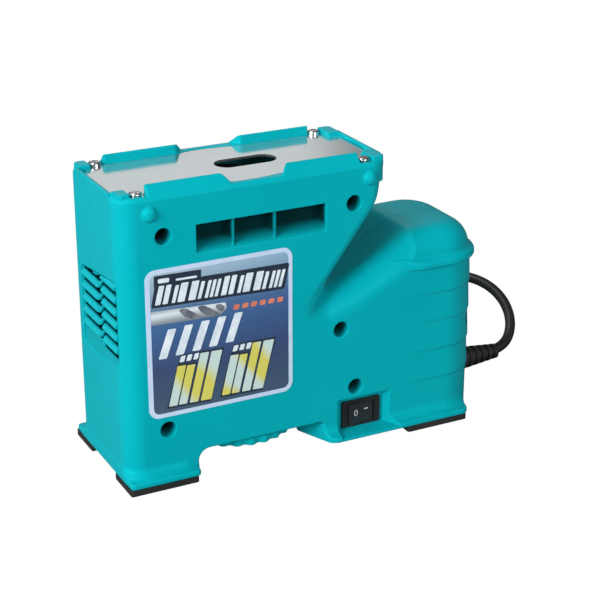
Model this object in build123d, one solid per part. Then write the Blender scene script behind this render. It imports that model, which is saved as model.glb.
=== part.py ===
from build123d import *
import os
from math import sin, cos, radians, sqrt

# Bench drill bit sharpener: tall grinding body on the left, motor housing on the right.
# Millimetres, +Z up, floor at z = 0. Modelled with x = 0 at the left edge of the feet and
# y = 0 on the parting plane of the shells (front is -Y). Export shifts every part so
# that its origin is the centre of the feet on the floor.

# ---------------------------------------------------------------- driving sizes
FEET_LENGTH = 236.0
FEET_HALF_W = 47.7
FOOT_H = 4.3
ORIGIN_X = -FEET_LENGTH / 2

BODY_HALF_W = 40.8
WALL = 2.5
SLAB_X0, SLAB_X1 = 0.5, 179.0      # tall part of the body
SLAB_CORNER_R = 13.0
BELLY_Z = 17.5                     # underside between the feet
TOP_EDGE_Z = 181.0
PLATE_TOP_Z = 183.5
PLATE_T = 1.5
TRAY_Z = PLATE_TOP_Z - PLATE_T     # seat of the guide plate
RAIL_TOP_Z = 189.5
RAIL_INNER_Y = 31.7
HOUSING_X1 = 250.5                 # right end of the motor housing
HOUSING_CORNER_R = 28.0
HOUSING_TOP_Z = 132.0
LIP_Z0, LIP_Z1 = 109.0, 113.5

SPINDLE_X = 89.0                   # axis of spindle and height knob
MOTOR_X = 210.0
SPINDLE_R = 5.0
QUILL_R = 15.0
RUN = 0.05                         # radial running clearance
SPINDLE_BEARING_R = 13.0
LOW_BEARING_Z = (62.0, 70.0)
HIGH_BEARING_Z = (141.0, 149.0)
WHEEL_R = 33.0
WHEEL_FACE_Z, WHEEL_TOP_Z = 170.0, 173.0
KNOB_R = 39.5
KNOB_Z0, KNOB_Z1 = 11.6, 16.9
MOTOR_PULLEY_R, SPINDLE_PULLEY_R = 9.0, 15.0
PULLEY_TOP_Z = 58.5
BELT_Z0, BELT_Z1, BELT_T = 48.5, 55.5, 1.4
CORD_R = 3.5
CORD_Z = 20.0                      # height of the cord where it enters the housing

# (x, z) on the parting plane, (x, y) in the plate, (x, z) on the front face
CASE_SCREWS = [(28.5, 159.3), (153.5, 160.3), (145.3, 78.9), (156.1, 37.8), (28.0, 36.4)]
PLATE_SCREWS = [(15.5, 32.8), (15.5, -32.8), (163.5, 32.8), (163.5, -32.8)]
DOMES = [(20.4, 173.9), (164.0, 174.7)]
COUNTERBORE_Y = -17.0              # seat of the case screw heads
CORNER_SCREW = (9.0, 65.0)         # (x, z) on the rear face

os.makedirs("parts", exist_ok=True)


# ---------------------------------------------------------------- helpers
def export_part(name, made):
    """Write one STEP file from a shape or a list of shapes."""
    shapes = made if isinstance(made, list) else [made]
    solids = [Pos(ORIGIN_X, 0, 0) * solid for shape in shapes for solid in shape.solids()]
    part = solids[0] if len(solids) == 1 else Compound(children=solids)
    part.label = name
    export_step(part, "parts/" + name + ".step")


def block(x0, x1, y0, y1, z0, z1):
    """Box between two corners; each pair of bounds may come in either order."""
    centre = Pos((x0 + x1) / 2, (y0 + y1) / 2, (z0 + z1) / 2)
    return centre * Box(abs(x1 - x0), abs(y1 - y0), abs(z1 - z0))


def rod_z(x, y, z0, z1, r):
    return Pos(x, y, (z0 + z1) / 2) * Cylinder(r, z1 - z0)


def rod_y(x, z, y0, y1, r):
    return Pos(x, (y0 + y1) / 2, z) * Rot(90, 0, 0) * Cylinder(r, y1 - y0)


def rod_x(y, z, x0, x1, r):
    return Pos((x0 + x1) / 2, y, z) * Rot(0, 90, 0) * Cylinder(r, x1 - x0)


def ring(x, z0, z1, outer_r, inner_r):
    return rod_z(x, 0, z0, z1, outer_r) - rod_z(x, 0, z0 - 1, z1 + 1, inner_r)


def polygon(points):
    return make_face(Polyline(points + [points[0]]))


def prism_yz(points, x0, x1):
    return Pos(x0, 0, 0) * extrude(Plane.YZ * polygon(points), amount=x1 - x0)


def prism_xy(points, z0, z1):
    return Pos(0, 0, z0) * extrude(polygon(points), amount=z1 - z0)


def mirrored(half):
    """Close a half outline of (x, y) points with its mirror image across y = 0."""
    return half + [(x, -y) for x, y in reversed(half)]


def grow(face, distance):
    return offset(face, amount=distance, kind=Kind.INTERSECTION) if distance else face


def edges_at(shape, z, min_length=0):
    return [e for e in shape.edges() if abs(e.center().Z - z) < 0.01 and e.length > min_length]


def fused(shapes):
    return sum(shapes[1:], shapes[0])


def polar(x, r, degrees):
    """Point (x, y) on a circle about the vertical axis at x."""
    return x + r * cos(radians(degrees)), r * sin(radians(degrees))


def biggest(shape):
    return max(shape.solids(), key=lambda solid: solid.volume)


def pan_screw(head_r, head_h, shank_r, length):
    """Cross recessed pan head standing on z = 0, shank down to -length."""
    head = Pos(0, 0, head_h / 2) * Cylinder(head_r, head_h)
    head = fillet(edges_at(head, head_h), head_h * 0.55)
    at_recess = Pos(0, 0, head_h - 0.45)
    long, short = head_r * 1.15, head_r * 0.26
    recess = at_recess * Box(long, short, 1.5) + at_recess * Box(short, long, 1.5)
    return head + Pos(0, 0, -length / 2) * Cylinder(shank_r, length) - recess


def bearing(x, z0, z1, bore_r, outer_r):
    """Ball bearing: inner ring, outer ring and recessed shields."""
    ring_t = (outer_r - bore_r) * 0.24
    inner = ring(x, z0, z1, bore_r + ring_t, bore_r)
    outer = ring(x, z0, z1, outer_r, outer_r - ring_t)
    return inner + outer + ring(x, z0 + 0.5, z1 - 0.5, outer_r - ring_t, bore_r + ring_t)


# ---------------------------------------------------------------- body envelope
# (x, z) outline of the tall part
SLAB_OUTLINE = [
    (SLAB_X0, FOOT_H), (48.0, FOOT_H), (48.0, 8.0), (49.6, 12.4), (54.0, 16.3),
    (61.0, BELLY_Z), (150.0, BELLY_Z), (150.0, 90.0), (121.0, 93.0), (123.0, 99.0),
    (140.0, 125.0), (168.0, 159.0), (SLAB_X1 - 4, 165.0), (SLAB_X1, 172.0),
    (SLAB_X1, TOP_EDGE_Z + 2.5), (SLAB_X0, TOP_EDGE_Z + 2.5)]
# (x, z) outline of the motor housing, with the shoulder that climbs over its top
HOUSING_OUTLINE = [
    (120, FOOT_H), (260, FOOT_H), (260, 140), (208, 140), (203, HOUSING_TOP_Z), (186, 122),
    (160, 113), (138, 104), (122, 94), (134, BELLY_Z), (134, FOOT_H)]
BAND_TOPS = (91.0, 72.0, 52.0, 32.0)


def housing_plan(growth):
    """D shaped plan of the motor housing."""
    half_w = BODY_HALF_W + growth
    x0, x1 = 120 - growth, HOUSING_X1 + growth
    plan = polygon([(x0, -half_w), (x1, -half_w), (x1, half_w), (x0, half_w)])
    corners = plan.vertices().filter_by(lambda v: v.X > 200)
    return fillet(corners, HOUSING_CORNER_R + growth)


def envelope(growth):
    """Outer body for growth 0, cavity for growth -WALL."""
    half_w = BODY_HALF_W + growth
    profile = grow(Plane.XZ * polygon(SLAB_OUTLINE), growth)
    slab = Pos(0, half_w, 0) * extrude(profile, amount=2 * half_w)
    plan = Pos((SLAB_X0 + SLAB_X1) / 2, 0, 0) * RectangleRounded(
        SLAB_X1 - SLAB_X0 + 2 * growth, 2 * half_w, SLAB_CORNER_R + growth)
    slab = slab & extrude(plan, amount=TOP_EDGE_Z + 10)

    plan = housing_plan(growth)
    top_z = HOUSING_TOP_Z + growth
    low = Pos(0, 0, FOOT_H - growth) * extrude(plan, amount=top_z - FOOT_H + growth)
    dome = Pos(0, 0, 100) * extrude(grow(plan, -1.5), amount=top_z - 100)
    rim = [e for e in edges_at(dome, top_z) if e.center().X > 140]
    dome = fillet(rim, 16.0 + growth)
    side = grow(Plane.XZ * polygon(HOUSING_OUTLINE), growth)
    side = Pos(0, 60, 0) * extrude(side, amount=120)
    low = (low & block(100, 260, -60, 60, 0, LIP_Z1)) & side
    dome = dome & side
    return slab + low + dome


def knob_relief(extra=0.0):
    """Round space under the body that clears the height knob."""
    return rod_z(SPINDLE_X, 0, 0, KNOB_Z1 + 0.5 + extra, KNOB_R + 1.2 + extra)


def foot_flange(x0, x1):
    half = [(-FEET_HALF_W, FOOT_H), (-FEET_HALF_W, 7.2), (-44.6, 8.2), (-42.2, 10.6),
            (-BODY_HALF_W + 0.2, 15.0)]
    return prism_yz(half + [(-y, z) for y, z in reversed(half)], x0, x1)


def add_lip_and_bands(outer):
    """Lip round the motor housing and four narrow bands below it."""
    plan = housing_plan(0)
    lip = Pos(0, 0, LIP_Z0) * extrude(grow(plan, 2.7), amount=LIP_Z1 - LIP_Z0)
    outer = outer + (lip & block(186, 260, -60, 60, 100, 120))
    for top_z in BAND_TOPS:
        band = Pos(0, 0, top_z - 1.0) * extrude(grow(plan, 0.6), amount=1.0)
        outer = outer + (band & block(192, 260, -60, 60, 0, 120))
    return outer


def add_flanges(outer):
    right_plan = mirrored([(124.4, -18.0), (134.0, -44.0), (139.0, -48.0), (232.0, -48.0),
                           (237.5, -44.0)])
    left = foot_flange(0.0, 47.0)
    right = foot_flange(128.0, 238.0) & prism_xy(right_plan, 0, 20)
    return outer + (left + right - knob_relief())


def add_top_details(outer):
    """Rails and blocks round the tray, and two small domes on the front face."""
    edge_y = BODY_HALF_W - 0.4
    section = [(edge_y, 178.0), (edge_y, TOP_EDGE_Z + 0.6), (39.0, 183.6),
               (33.4, RAIL_TOP_Z), (RAIL_INNER_Y, RAIL_TOP_Z), (RAIL_INNER_Y, 178.0)]
    for side in (-1, 1):
        rail = [(y * side, z) for y, z in section]
        y_in, y_out = RAIL_INNER_Y * side, 50.0 * side
        y_bevel = y_in + 5.5 * side
        left_plan = [(10, y_in), (68, y_in), (73.5, y_bevel), (73.5, y_out), (10, y_out)]
        right_plan = [(112, y_in), (170, y_in), (170, y_out), (106.5, y_out),
                      (106.5, y_bevel)]
        left = prism_yz(rail, 21.0, 72.7) & prism_xy(left_plan, 170, 200)
        right = prism_yz(rail, 107.0, 159.0) & prism_xy(right_plan, 170, 200)
        outer = outer + left + right
    for x0, x1, y_in in ((168.0, 177.0, 21.0), (3.0, 10.5, 27.0)):
        for side in (1, -1):
            outer = outer + block(x0, x1, side * y_in, side * 37.0, 180, 186.0)
    outer = outer + block(SLAB_X0 + 1.5, 4.5, -25, 25, 180, 185.0)
    outer = outer + block(175.6, 177.6, -21, 21, 180, 185.2)
    face_y = -BODY_HALF_W
    for x, z in DOMES:
        keep = block(x - 6, x + 6, face_y - 3.0, face_y + 1, z - 6, z + 6)
        outer = outer + (Pos(x, face_y + 0.2, z) * Sphere(4.85) & keep)
    return outer


# ---------------------------------------------------------------- shell openings
# (x, y) front half of the tray outline
TRAY_HALF = [
    (4.35, -26.0), (11.0, -26.0), (11.3, -37.3), (19.8, -37.3), (20.9, -31.6), (67.9, -31.6),
    (73.2, -33.5), (82.5, -34.9), (94.7, -33.9), (106.6, -32.9), (112.2, -31.6),
    (159.2, -31.6), (160.1, -37.3), (167.5, -37.3), (167.8, -20.8), (175.3, -20.3)]
# (y, z) panel round the louvres
LOUVRE_PANEL = [(-32.0, 81.5), (-20, 77.5), (-6, 75.2), (12, 74.6), (24.6, 76.5),
                (24.6, 126.0), (-32.0, 133.0)]
# slots, then (y, lower edge z) at both ends of the column's top slot
LOUVRE_COLUMNS = [(6, -7.0, 118.3, 22.5, 121.3), (5, -30.0, 118.9, -10.2, 124.4)]
LOUVRE_PITCH, LOUVRE_H = 8.0, 2.8


def add_dust_recess(shell, cavity):
    """Recess in the front face: three cells with a sloping floor, open at the back."""
    x0, x1, z0, z1 = 49.2, 134.0, 145.4, 163.2
    back_y = -30.5
    lining = block(x0 - 2, x1 + 2, -BODY_HALF_W, -28.5, z0 - 2.2, z1 + 1.4) & cavity
    cells = block(x0, x1, -45, back_y, z0, z1)
    floor = [(-40.6, z0 - 1), (-40.6, z0 + 0.2), (back_y, z0 + 6.0), (back_y, z0 - 1)]
    cells = cells - prism_yz(floor, 40, 140)
    for wall_x0, wall_x1 in ((72.6, 74.2), (99.7, 101.3)):
        cells = cells - block(wall_x0, wall_x1, -39.5, -30, 140, 170)
    openings = block(x0 + 1, x1 - 1, -31, -27, z0 + 9, z1 - 1)
    for web_x0, web_x1 in ((71, 75.8), (98, 103)):
        openings = openings - block(web_x0, web_x1, -32, -26, 140, 170)
    return (shell + lining) - cells - openings


def add_switch_pocket(shell, cavity):
    """Pocket low in the front face, with the window for the switch in its back wall."""
    x0, x1, top_z = 143.6, 181.0, 30.0
    walls = block(x0 - 2.5, x1 + 2.5, -44, -33.0, 4.5, top_z + 2.5) & cavity
    walls = walls + block(x0 - 2.5, x1 + 2.5, -BODY_HALF_W - 1, -33.0, FOOT_H, 7.0)
    plan = [(x0, -60), (x1, -60), (x1 - 3.6, -35.6), (x0 + 1.0, -35.6)]
    floor = [(-60, 3), (-60, 6.2), (-48, 6.4), (-35.6, 7.4), (-35.6, 3)]
    pocket = prism_xy(plan, 6.2, top_z) - prism_yz(floor, 140, 185)
    window = block(150.0, 174.2, -38, -30, 9.2, 24.8)
    return (shell + walls) - pocket - window


def cut_louvres(shell):
    """Two columns of slanted slots in a shallow panel of the left end."""
    shell = shell - prism_yz(LOUVRE_PANEL, -2, 1.5)
    for count, y0, z0, y1, z1 in LOUVRE_COLUMNS:
        for i in range(count):
            drop = LOUVRE_PITCH * i
            low0, low1 = z0 - drop, z1 - drop
            slot = [(y0, low0), (y1, low1), (y1, low1 + LOUVRE_H), (y0, low0 + LOUVRE_H)]
            shell = shell - prism_yz(slot, -3, 6)
    return shell


def cut_round_holes(shell):
    """Outlet on the front corner of the housing, cord entry and knob bore."""
    angle = -39
    x, y = polar(HOUSING_X1 - HOUSING_CORNER_R, HOUSING_CORNER_R, angle)
    y -= BODY_HALF_W - HOUSING_CORNER_R
    shell = shell - Pos(x, y, 64.3) * Rot(0, 0, angle) * Rot(0, 90, 0) * Cylinder(4.4, 14)
    shell = shell - rod_x(0, CORD_Z, HOUSING_X1 - 8, HOUSING_X1 + 5, 6.1)
    return shell - rod_z(SPINDLE_X, 0, 10, 24, 12.0)


def motor_rib(z):
    rib = block(172, 249, -39, 39, z, z + 3) - rod_z(MOTOR_X, 0, z - 1, z + 5, 31.2)
    return rib - block(160, 178, -28, 28, z - 1, z + 5)


def spindle_rib(z):
    rib = block(52, 126, -39, 39, z, z + 3) - block(56, 122, -33, 33, z - 1, z + 4)
    return rib - block(120, 130, -30, 30, z - 1, z + 4)


def add_plate_bosses(shell, cavity):
    bosses = []
    for x, y in PLATE_SCREWS:
        side = 1 if y > 0 else -1
        bosses.append(block(x - 5.5, x + 5.5, y - 5.2 * side, 39.0 * side, 168, TRAY_Z))
    shell = shell + (fused(bosses) & (cavity + shell))
    for x, y in PLATE_SCREWS:
        shell = shell - rod_z(x, y, 170.5, 190, 2.05)
    return shell


def half_shell(shell, outer, y0, y1, boss_y0, boss_y1, boss_r):
    """One side of the parting plane, with its case screw bosses."""
    keep = block(-20, 270, y0, y1, 0, 200)
    bosses = fused([rod_y(x, z, boss_y0, boss_y1, boss_r) for x, z in CASE_SCREWS])
    return (shell & keep) + (bosses & (outer & keep))


def body_shells():
    outer = envelope(0) - knob_relief()
    cavity = envelope(-WALL) - knob_relief(WALL)
    outer = add_top_details(add_flanges(add_lip_and_bands(outer)))

    shell = outer - cavity - prism_xy(mirrored(TRAY_HALF), TRAY_Z, 200)
    # the wheel chamber is open under the middle of the plate
    shell = shell - block(50, 146, -28, 28, 172, 200)
    shell = add_dust_recess(shell, cavity)
    shell = add_switch_pocket(shell, cavity)
    shell = cut_round_holes(cut_louvres(shell))
    ribs = fused([motor_rib(83.0), motor_rib(97.0), spindle_rib(56.8)])
    shell = shell + (ribs & cavity)
    shell = add_plate_bosses(shell, cavity)

    front = half_shell(shell, outer, -60, 0, -BODY_HALF_W + 1.0, 0, 7.2)
    rear = half_shell(shell, outer, 0, 60, 0, BODY_HALF_W - 1.5, 5.6)
    for x, z in CASE_SCREWS:
        front = front - rod_y(x, z, -60, COUNTERBORE_Y, 5.0) - rod_y(x, z, -60, 1, 2.2)
        rear = rear - rod_y(x, z, -1, 13.0, 1.8)
    # pad and pilot hole of the small corner screw
    x, z = CORNER_SCREW
    rear = rear - rod_y(x, z, 30, 60, 1.85)
    pad = block(x - 4.5, x + 5.5, 32, 39.5, z - 5, z + 5) & cavity
    rear = rear + pad - rod_y(x, z, 33, 60, 1.85)
    return biggest(front), biggest(rear)


# ---------------------------------------------------------------- guide plate, outer parts
# (x, y) front half of the plate outline
PLATE_HALF = [
    (4.6, -18.0), (4.6, -21.0), (7.5, -25.5), (11.0, -25.5), (11.6, -37.0), (19.4, -37.0),
    (20.4, -31.3), (67.7, -31.3), (73.2, -33.2), (82.5, -34.6), (94.7, -33.6),
    (106.6, -32.6), (112.3, -31.3), (159.6, -31.3), (160.4, -37.0), (167.2, -37.0),
    (167.6, -20.5), (175.0, -20.0)]
BIT_SLOT_X, BIT_SLOT_L, BIT_SLOT_W = 100.0, 40.4, 17.0


def guide_plate():
    plate = prism_xy(mirrored(PLATE_HALF), TRAY_Z, PLATE_TOP_Z)
    slot = extrude(SlotOverall(BIT_SLOT_L, BIT_SLOT_W), amount=60)
    plate = plate - Pos(BIT_SLOT_X, 0, PLATE_TOP_Z - 30) * slot
    for x, y in PLATE_SCREWS:
        plate = plate - rod_z(x, y, 170, 190, 2.2)
    return plate


def plate_screws():
    return [Pos(x, y, PLATE_TOP_Z) * pan_screw(4.0, 2.5, 2.0, 12.0) for x, y in PLATE_SCREWS]


def case_screws():
    return [Pos(x, COUNTERBORE_Y, z) * Rot(90, 0, 0) * pan_screw(3.6, 2.4, 1.75, 28.0)
            for x, z in CASE_SCREWS]


def corner_screw():
    x, z = CORNER_SCREW
    return Pos(x, BODY_HALF_W + 0.05, z) * Rot(-90, 0, 0) * pan_screw(4.2, 2.6, 1.8, 7.0)


def rubber_feet():
    feet = []
    for x0, x1 in ((0.0, 44.5), (191.6, FEET_LENGTH)):
        for side in (-1, 1):
            foot = block(x0, x1, side * FEET_HALF_W, side * 20.0, 0, FOOT_H)
            foot = fillet(foot.edges().filter_by(Axis.Z), 1.5)
            feet.append(fillet(edges_at(foot, 0), 0.8))
    return feet


def face_label():
    label = Plane.XZ * (Pos(63.5, 92.5, 0) * RectangleRounded(95.3, 94.8, 6.5))
    return Pos(0, -BODY_HALF_W, 0) * extrude(label, amount=0.4)


# ---------------------------------------------------------------- switch
SWITCH_X, SWITCH_Z = 162.1, 17.0
PIVOT_Y = -34.4
TERMINAL_X = 7.0                   # terminal offset from the switch centre


def switch_block(half_x, half_z, y0, y1):
    return block(SWITCH_X - half_x, SWITCH_X + half_x, y0, y1,
                 SWITCH_Z - half_z, SWITCH_Z + half_z)


def pivot(r, half_length):
    return rod_z(SWITCH_X, PIVOT_Y, SWITCH_Z - half_length, SWITCH_Z + half_length, r)


def switch_body():
    bezel = switch_block(13.8, 9.3, -37.2, -35.65)
    bezel = fillet(bezel.edges().filter_by(Axis.Y), 1.2)
    body = bezel + switch_block(11.9, 7.6, -35.7, -17.0)
    return body - switch_block(9.6, 6.9, -40, -27.5) - pivot(1.26, 7.45)


def switch_rocker():
    # (x from the switch centre, y)
    outline = [(-9.0, -36.6), (-8.3, -39.3), (0.0, -37.6), (8.8, -36.7), (9.0, -35.0),
               (6.0, -32.6), (-6.0, -32.6)]
    half_z = 6.6
    rocker = prism_xy([(SWITCH_X + x, y) for x, y in outline],
                      SWITCH_Z - half_z, SWITCH_Z + half_z)
    return rocker + pivot(2.4, half_z) + pivot(1.2, 7.35)


def switch_terminals():
    return [Pos(side * TERMINAL_X, 0, 0) * switch_block(0.4, 2.4, -17.0, -9.5)
            for side in (-1, 1)]


# ---------------------------------------------------------------- height adjustment
LOBES, LOBE_R = 26, 3.6


def height_knob():
    lobes = [rod_z(*polar(SPINDLE_X, KNOB_R - LOBE_R, 360 * i / LOBES), KNOB_Z0, KNOB_Z1, LOBE_R)
             for i in range(LOBES)]
    knob = rod_z(SPINDLE_X, 0, KNOB_Z0, KNOB_Z1, KNOB_R - 2.0) + lobes
    knob = knob - ring(SPINDLE_X, 8, KNOB_Z0 + 2.2, 30.0, 11.0)
    grip = block(SPINDLE_X - 30.5, SPINDLE_X + 30.5, -3, 3, KNOB_Z0, KNOB_Z0 + 2.4)
    return knob + grip + rod_z(SPINDLE_X, 0, KNOB_Z0 + 2, 29.9, 7.95)


def adjuster_bush():
    return ring(SPINDLE_X, 20.05, 27.0, 20.0, 8.02)


def thrust_ball():
    return Pos(SPINDLE_X, 0, 33.95) * Sphere(4.0)


# ---------------------------------------------------------------- grinding spindle
def grinding_spindle():
    top_z = 175.0
    spindle = rod_z(SPINDLE_X, 0, 38.0, top_z, SPINDLE_R)
    spindle = spindle + rod_z(SPINDLE_X, 0, LOW_BEARING_Z[1], HIGH_BEARING_Z[0], 6.0)
    return chamfer(edges_at(spindle, top_z), 0.8)


def spindle_quill():
    quill = rod_z(SPINDLE_X, 0, LOW_BEARING_Z[0], 150.0, QUILL_R)
    quill = quill - rod_z(SPINDLE_X, 0, 60, LOW_BEARING_Z[1], SPINDLE_BEARING_R)
    quill = quill - rod_z(SPINDLE_X, 0, HIGH_BEARING_Z[0], 152, SPINDLE_BEARING_R)
    return quill - rod_z(SPINDLE_X, 0, 60, 152, 8.5)


def spindle_bottom_bearing():
    return bearing(SPINDLE_X, *LOW_BEARING_Z, SPINDLE_R, SPINDLE_BEARING_R)


def spindle_top_bearing():
    return bearing(SPINDLE_X, *HIGH_BEARING_Z, SPINDLE_R, SPINDLE_BEARING_R)


def spindle_bracket():
    """Sleeve round the quill with two drilled flanges and two side webs."""
    bore_r = QUILL_R + RUN
    bracket = ring(SPINDLE_X, 60.0, 140.0, 19.0, bore_r)
    for z in (60.0, 134.0):
        flange = block(SPINDLE_X - 31, SPINDLE_X + 31, -36.5, 36.5, z, z + 5)
        flange = fillet(flange.edges().filter_by(Axis.Z), 5)
        flange = flange - rod_z(SPINDLE_X, 0, z - 1, z + 7, bore_r)
        for dx in (-22, 22):
            for y in (-25, 25):
                flange = flange - rod_z(SPINDLE_X + dx, y, z - 1, z + 7, 6.0)
        bracket = bracket + flange
    for side in (-1, 1):
        x0, x1 = SPINDLE_X + side * 17.0, SPINDLE_X + side * 27.3
        bracket = bracket + block(x0, x1, -2, 2, 60, 139)
    return bracket - rod_z(SPINDLE_X, 0, 50, 160, bore_r)


def spindle_pulley():
    pulley = rod_z(SPINDLE_X, 0, 46.5, PULLEY_TOP_Z, SPINDLE_PULLEY_R)
    pulley = pulley - rod_z(SPINDLE_X, 0, 40, 60, SPINDLE_R)
    for i in range(6):
        pulley = pulley - rod_z(*polar(SPINDLE_X, 10, 60 * i), 40, 60, 2.4)
    return pulley


def wheel_hub():
    disc_z = 166.0
    hub = rod_z(SPINDLE_X, 0, disc_z, WHEEL_FACE_Z, WHEEL_R)
    hub = hub + rod_z(SPINDLE_X, 0, 160.5, disc_z, 10.0)
    hub = hub - rod_z(SPINDLE_X, 0, 150, 180, SPINDLE_R)
    return fillet(edges_at(hub, disc_z, 200), 1.2)


def diamond_rim():
    return ring(SPINDLE_X, WHEEL_FACE_Z, WHEEL_TOP_Z, WHEEL_R, 13.0)


def wheel_nut():
    seat = Pos(SPINDLE_X, 0, WHEEL_FACE_Z)
    nut = seat * extrude(RegularPolygon(8.5, 6), amount=4.8)
    # the cone bevels the upper corners
    nut = nut & (seat * Cone(10.6, 7.6, 6.0, align=(Align.CENTER, Align.CENTER, Align.MIN)))
    return nut - rod_z(SPINDLE_X, 0, 165, 180, SPINDLE_R)


# ---------------------------------------------------------------- motor
SHAFT_R = 4.0
MOTOR_R = 31.0
MOTOR_BEARING_R = 11.0
TOP_BEARING_Z1 = 123.4
CORE_Z0, CORE_Z1 = 82.0, 104.0     # armature and stator stacks
BOLT_X = 27.9                      # motor bolt offset from the motor axis
BRACKET_TOP_Z = 111.4


def motor_rod(z0, z1, r):
    return rod_z(MOTOR_X, 0, z0, z1, r)


def bolt_rod(side, z0, z1, r):
    return rod_z(MOTOR_X + side * BOLT_X, 0, z0, z1, r)


def motor_spoke(angle, z, piece):
    return Pos(MOTOR_X, 0, z) * Rot(0, 0, angle) * piece


def motor_shaft():
    bottom_z = 43.0
    return chamfer(edges_at(motor_rod(bottom_z, 124.9, SHAFT_R), bottom_z), 0.6)


def motor_pulley():
    pulley = ring(MOTOR_X, 46.0, PULLEY_TOP_Z, MOTOR_PULLEY_R, SHAFT_R)
    for z0, z1 in ((46.0, 47.4), (57.0, PULLEY_TOP_Z)):
        pulley = pulley + ring(MOTOR_X, z0, z1, 11.5, SHAFT_R)
    return pulley


def motor_bottom_bearing():
    return bearing(MOTOR_X, 61.0, 68.0, SHAFT_R, MOTOR_BEARING_R)


def motor_top_bearing():
    return bearing(MOTOR_X, 117.6, TOP_BEARING_Z1, SHAFT_R, MOTOR_BEARING_R)


def cooling_fan():
    fan_r = 23.6
    fan = ring(MOTOR_X, 70.0, 71.6, fan_r, SHAFT_R) + ring(MOTOR_X, 70.0, 76.0, 8.0, SHAFT_R)
    blade = Pos(15.8, 1.5, 0) * Rot(0, 0, 18) * Box(14.6, 1.2, 4.6)
    for i in range(12):
        fan = fan + motor_spoke(30 * i, 73.6, blade)
    return fan & ring(MOTOR_X, 60, 80, fan_r, SHAFT_R)


def armature_core():
    core = ring(MOTOR_X, CORE_Z0, CORE_Z1, 16.8, SHAFT_R)
    for i in range(12):
        core = core - motor_spoke(30 * i, 93, Pos(15.2, 0, 0) * Box(5.4, 1.8, 24))
    return core


def armature_windings():
    windings = []
    # z range, then the z of the rounded end
    for z0, z1, end_z in ((77.0, CORE_Z0, 77.0), (CORE_Z1, 108.5, 108.5)):
        winding = ring(MOTOR_X, z0, z1, 14.8, SHAFT_R)
        windings.append(fillet(edges_at(winding, end_z, 60), 2.0))
    return windings


def commutator():
    drum_r = 9.0
    drum = ring(MOTOR_X, 108.6, 116.8, drum_r, SHAFT_R)
    for i in range(12):
        drum = drum - motor_spoke(30 * i, 113, Pos(drum_r, 0, 0) * Box(1.6, 0.5, 12))
    return drum


def motor_stator():
    stator = ring(MOTOR_X, CORE_Z0, CORE_Z1, MOTOR_R, 25.0)
    # poles, then their wider shoes: outer radius, half width
    for outer_r, half_w in ((25.5, 11.0), (19.0, 15.0)):
        pole = ring(MOTOR_X, CORE_Z0, CORE_Z1, outer_r, 17.4)
        stator = stator + (pole & block(MOTOR_X - half_w, MOTOR_X + half_w, -40, 40, 80, 110))
    for side in (-1, 1):
        stator = stator - bolt_rod(side, 80, 106, 2.1)
    return stator


def field_coils():
    coils = []
    for side in (-1, 1):
        coil = ring(MOTOR_X, 77.5, 108.5, 24.7, 19.5)
        coil = coil & block(MOTOR_X - 17.5, MOTOR_X + 17.5, 0, side * 40, 70, 110)
        coils.append(coil - block(MOTOR_X - 11.2, MOTOR_X + 11.2, -40, 40,
                                  CORE_Z0 - 0.2, CORE_Z1 + 0.2))
    return coils


def motor_bottom_bracket():
    """Cup with bolt posts, four side windows and six holes in its floor."""
    cup = motor_rod(60.5, 80.5, MOTOR_R) - motor_rod(69.0, 81, 28.6)
    cup = cup - motor_rod(61.0, 75, MOTOR_BEARING_R) - motor_rod(55, 70, 7.0)
    for side in (-1, 1):
        cup = cup + bolt_rod(side, 60.5, 81.9, 3.0)
    cup = cup & motor_rod(60, 90, MOTOR_R)
    for angle in (45, 135, 225, 315):
        cup = cup - motor_spoke(angle, 74, Pos(28, 0, 0) * Box(14, 24, 7.5))
    for angle in (35, 90, 145, 215, 270, 325):
        cup = cup - rod_z(*polar(MOTOR_X, 19, angle), 55, 70, 4.2)
    for side in (-1, 1):
        cup = cup - bolt_rod(side, 50, 90, 1.7)
    return cup


def motor_top_bracket():
    """Ring on two feet, with a bridge that carries the top bearing."""
    bracket = ring(MOTOR_X, 108.8, BRACKET_TOP_Z, MOTOR_R, 20.0)
    foot_zones = (block(MOTOR_X - 32, MOTOR_X - 22, -12, 12, 100, 112)
                  + block(MOTOR_X + 22, MOTOR_X + 32, -12, 12, 100, 112))
    bracket = bracket + (ring(MOTOR_X, 104.1, 108.8, MOTOR_R, 25.2) & foot_zones)
    x0, x1 = MOTOR_X - 6, MOTOR_X + 6
    for side in (-1, 1):
        bracket = bracket + block(x0, x1, side * 20.2, side * 24.2, 110, 121.5)
    bracket = bracket + block(x0, x1, -24.2, 24.2, 118.5, 121.5)
    bracket = bracket + motor_rod(117.5, 124.4, 12.8)
    bracket = bracket - motor_rod(110, TOP_BEARING_Z1, MOTOR_BEARING_R)
    bracket = bracket - motor_rod(110, 127.2, 4.6)
    for side in (-1, 1):
        bracket = bracket - bolt_rod(side, 100, 115, 2.1)
    return bracket


def motor_bolts():
    return [Pos(MOTOR_X + side * BOLT_X, 0, BRACKET_TOP_Z) * pan_screw(3.2, 2.2, 1.7, 50.5)
            for side in (-1, 1)]


def brush_holders():
    holders = []
    base_z = BRACKET_TOP_Z + RUN
    for side in (-1, 1):
        x_in, x_out = MOTOR_X + side * 10.6, MOTOR_X + side * 23.4
        holder = block(x_in, x_out, -4.2, 4.2, base_z, 117.2)
        holder = holder + block(MOTOR_X + side * 20.5, x_out, -6.5, 6.5, base_z, 113)
        channel = block(x_in - side, x_out + side, -3.1, 3.1, 112.2, 116.4)
        holders.append(holder - channel)
    return holders


def carbon_brushes():
    return [block(MOTOR_X + side * 9.12, MOTOR_X + side * 19.0, -3.0, 3.0, 112.3, 116.3)
            for side in (-1, 1)]


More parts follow.
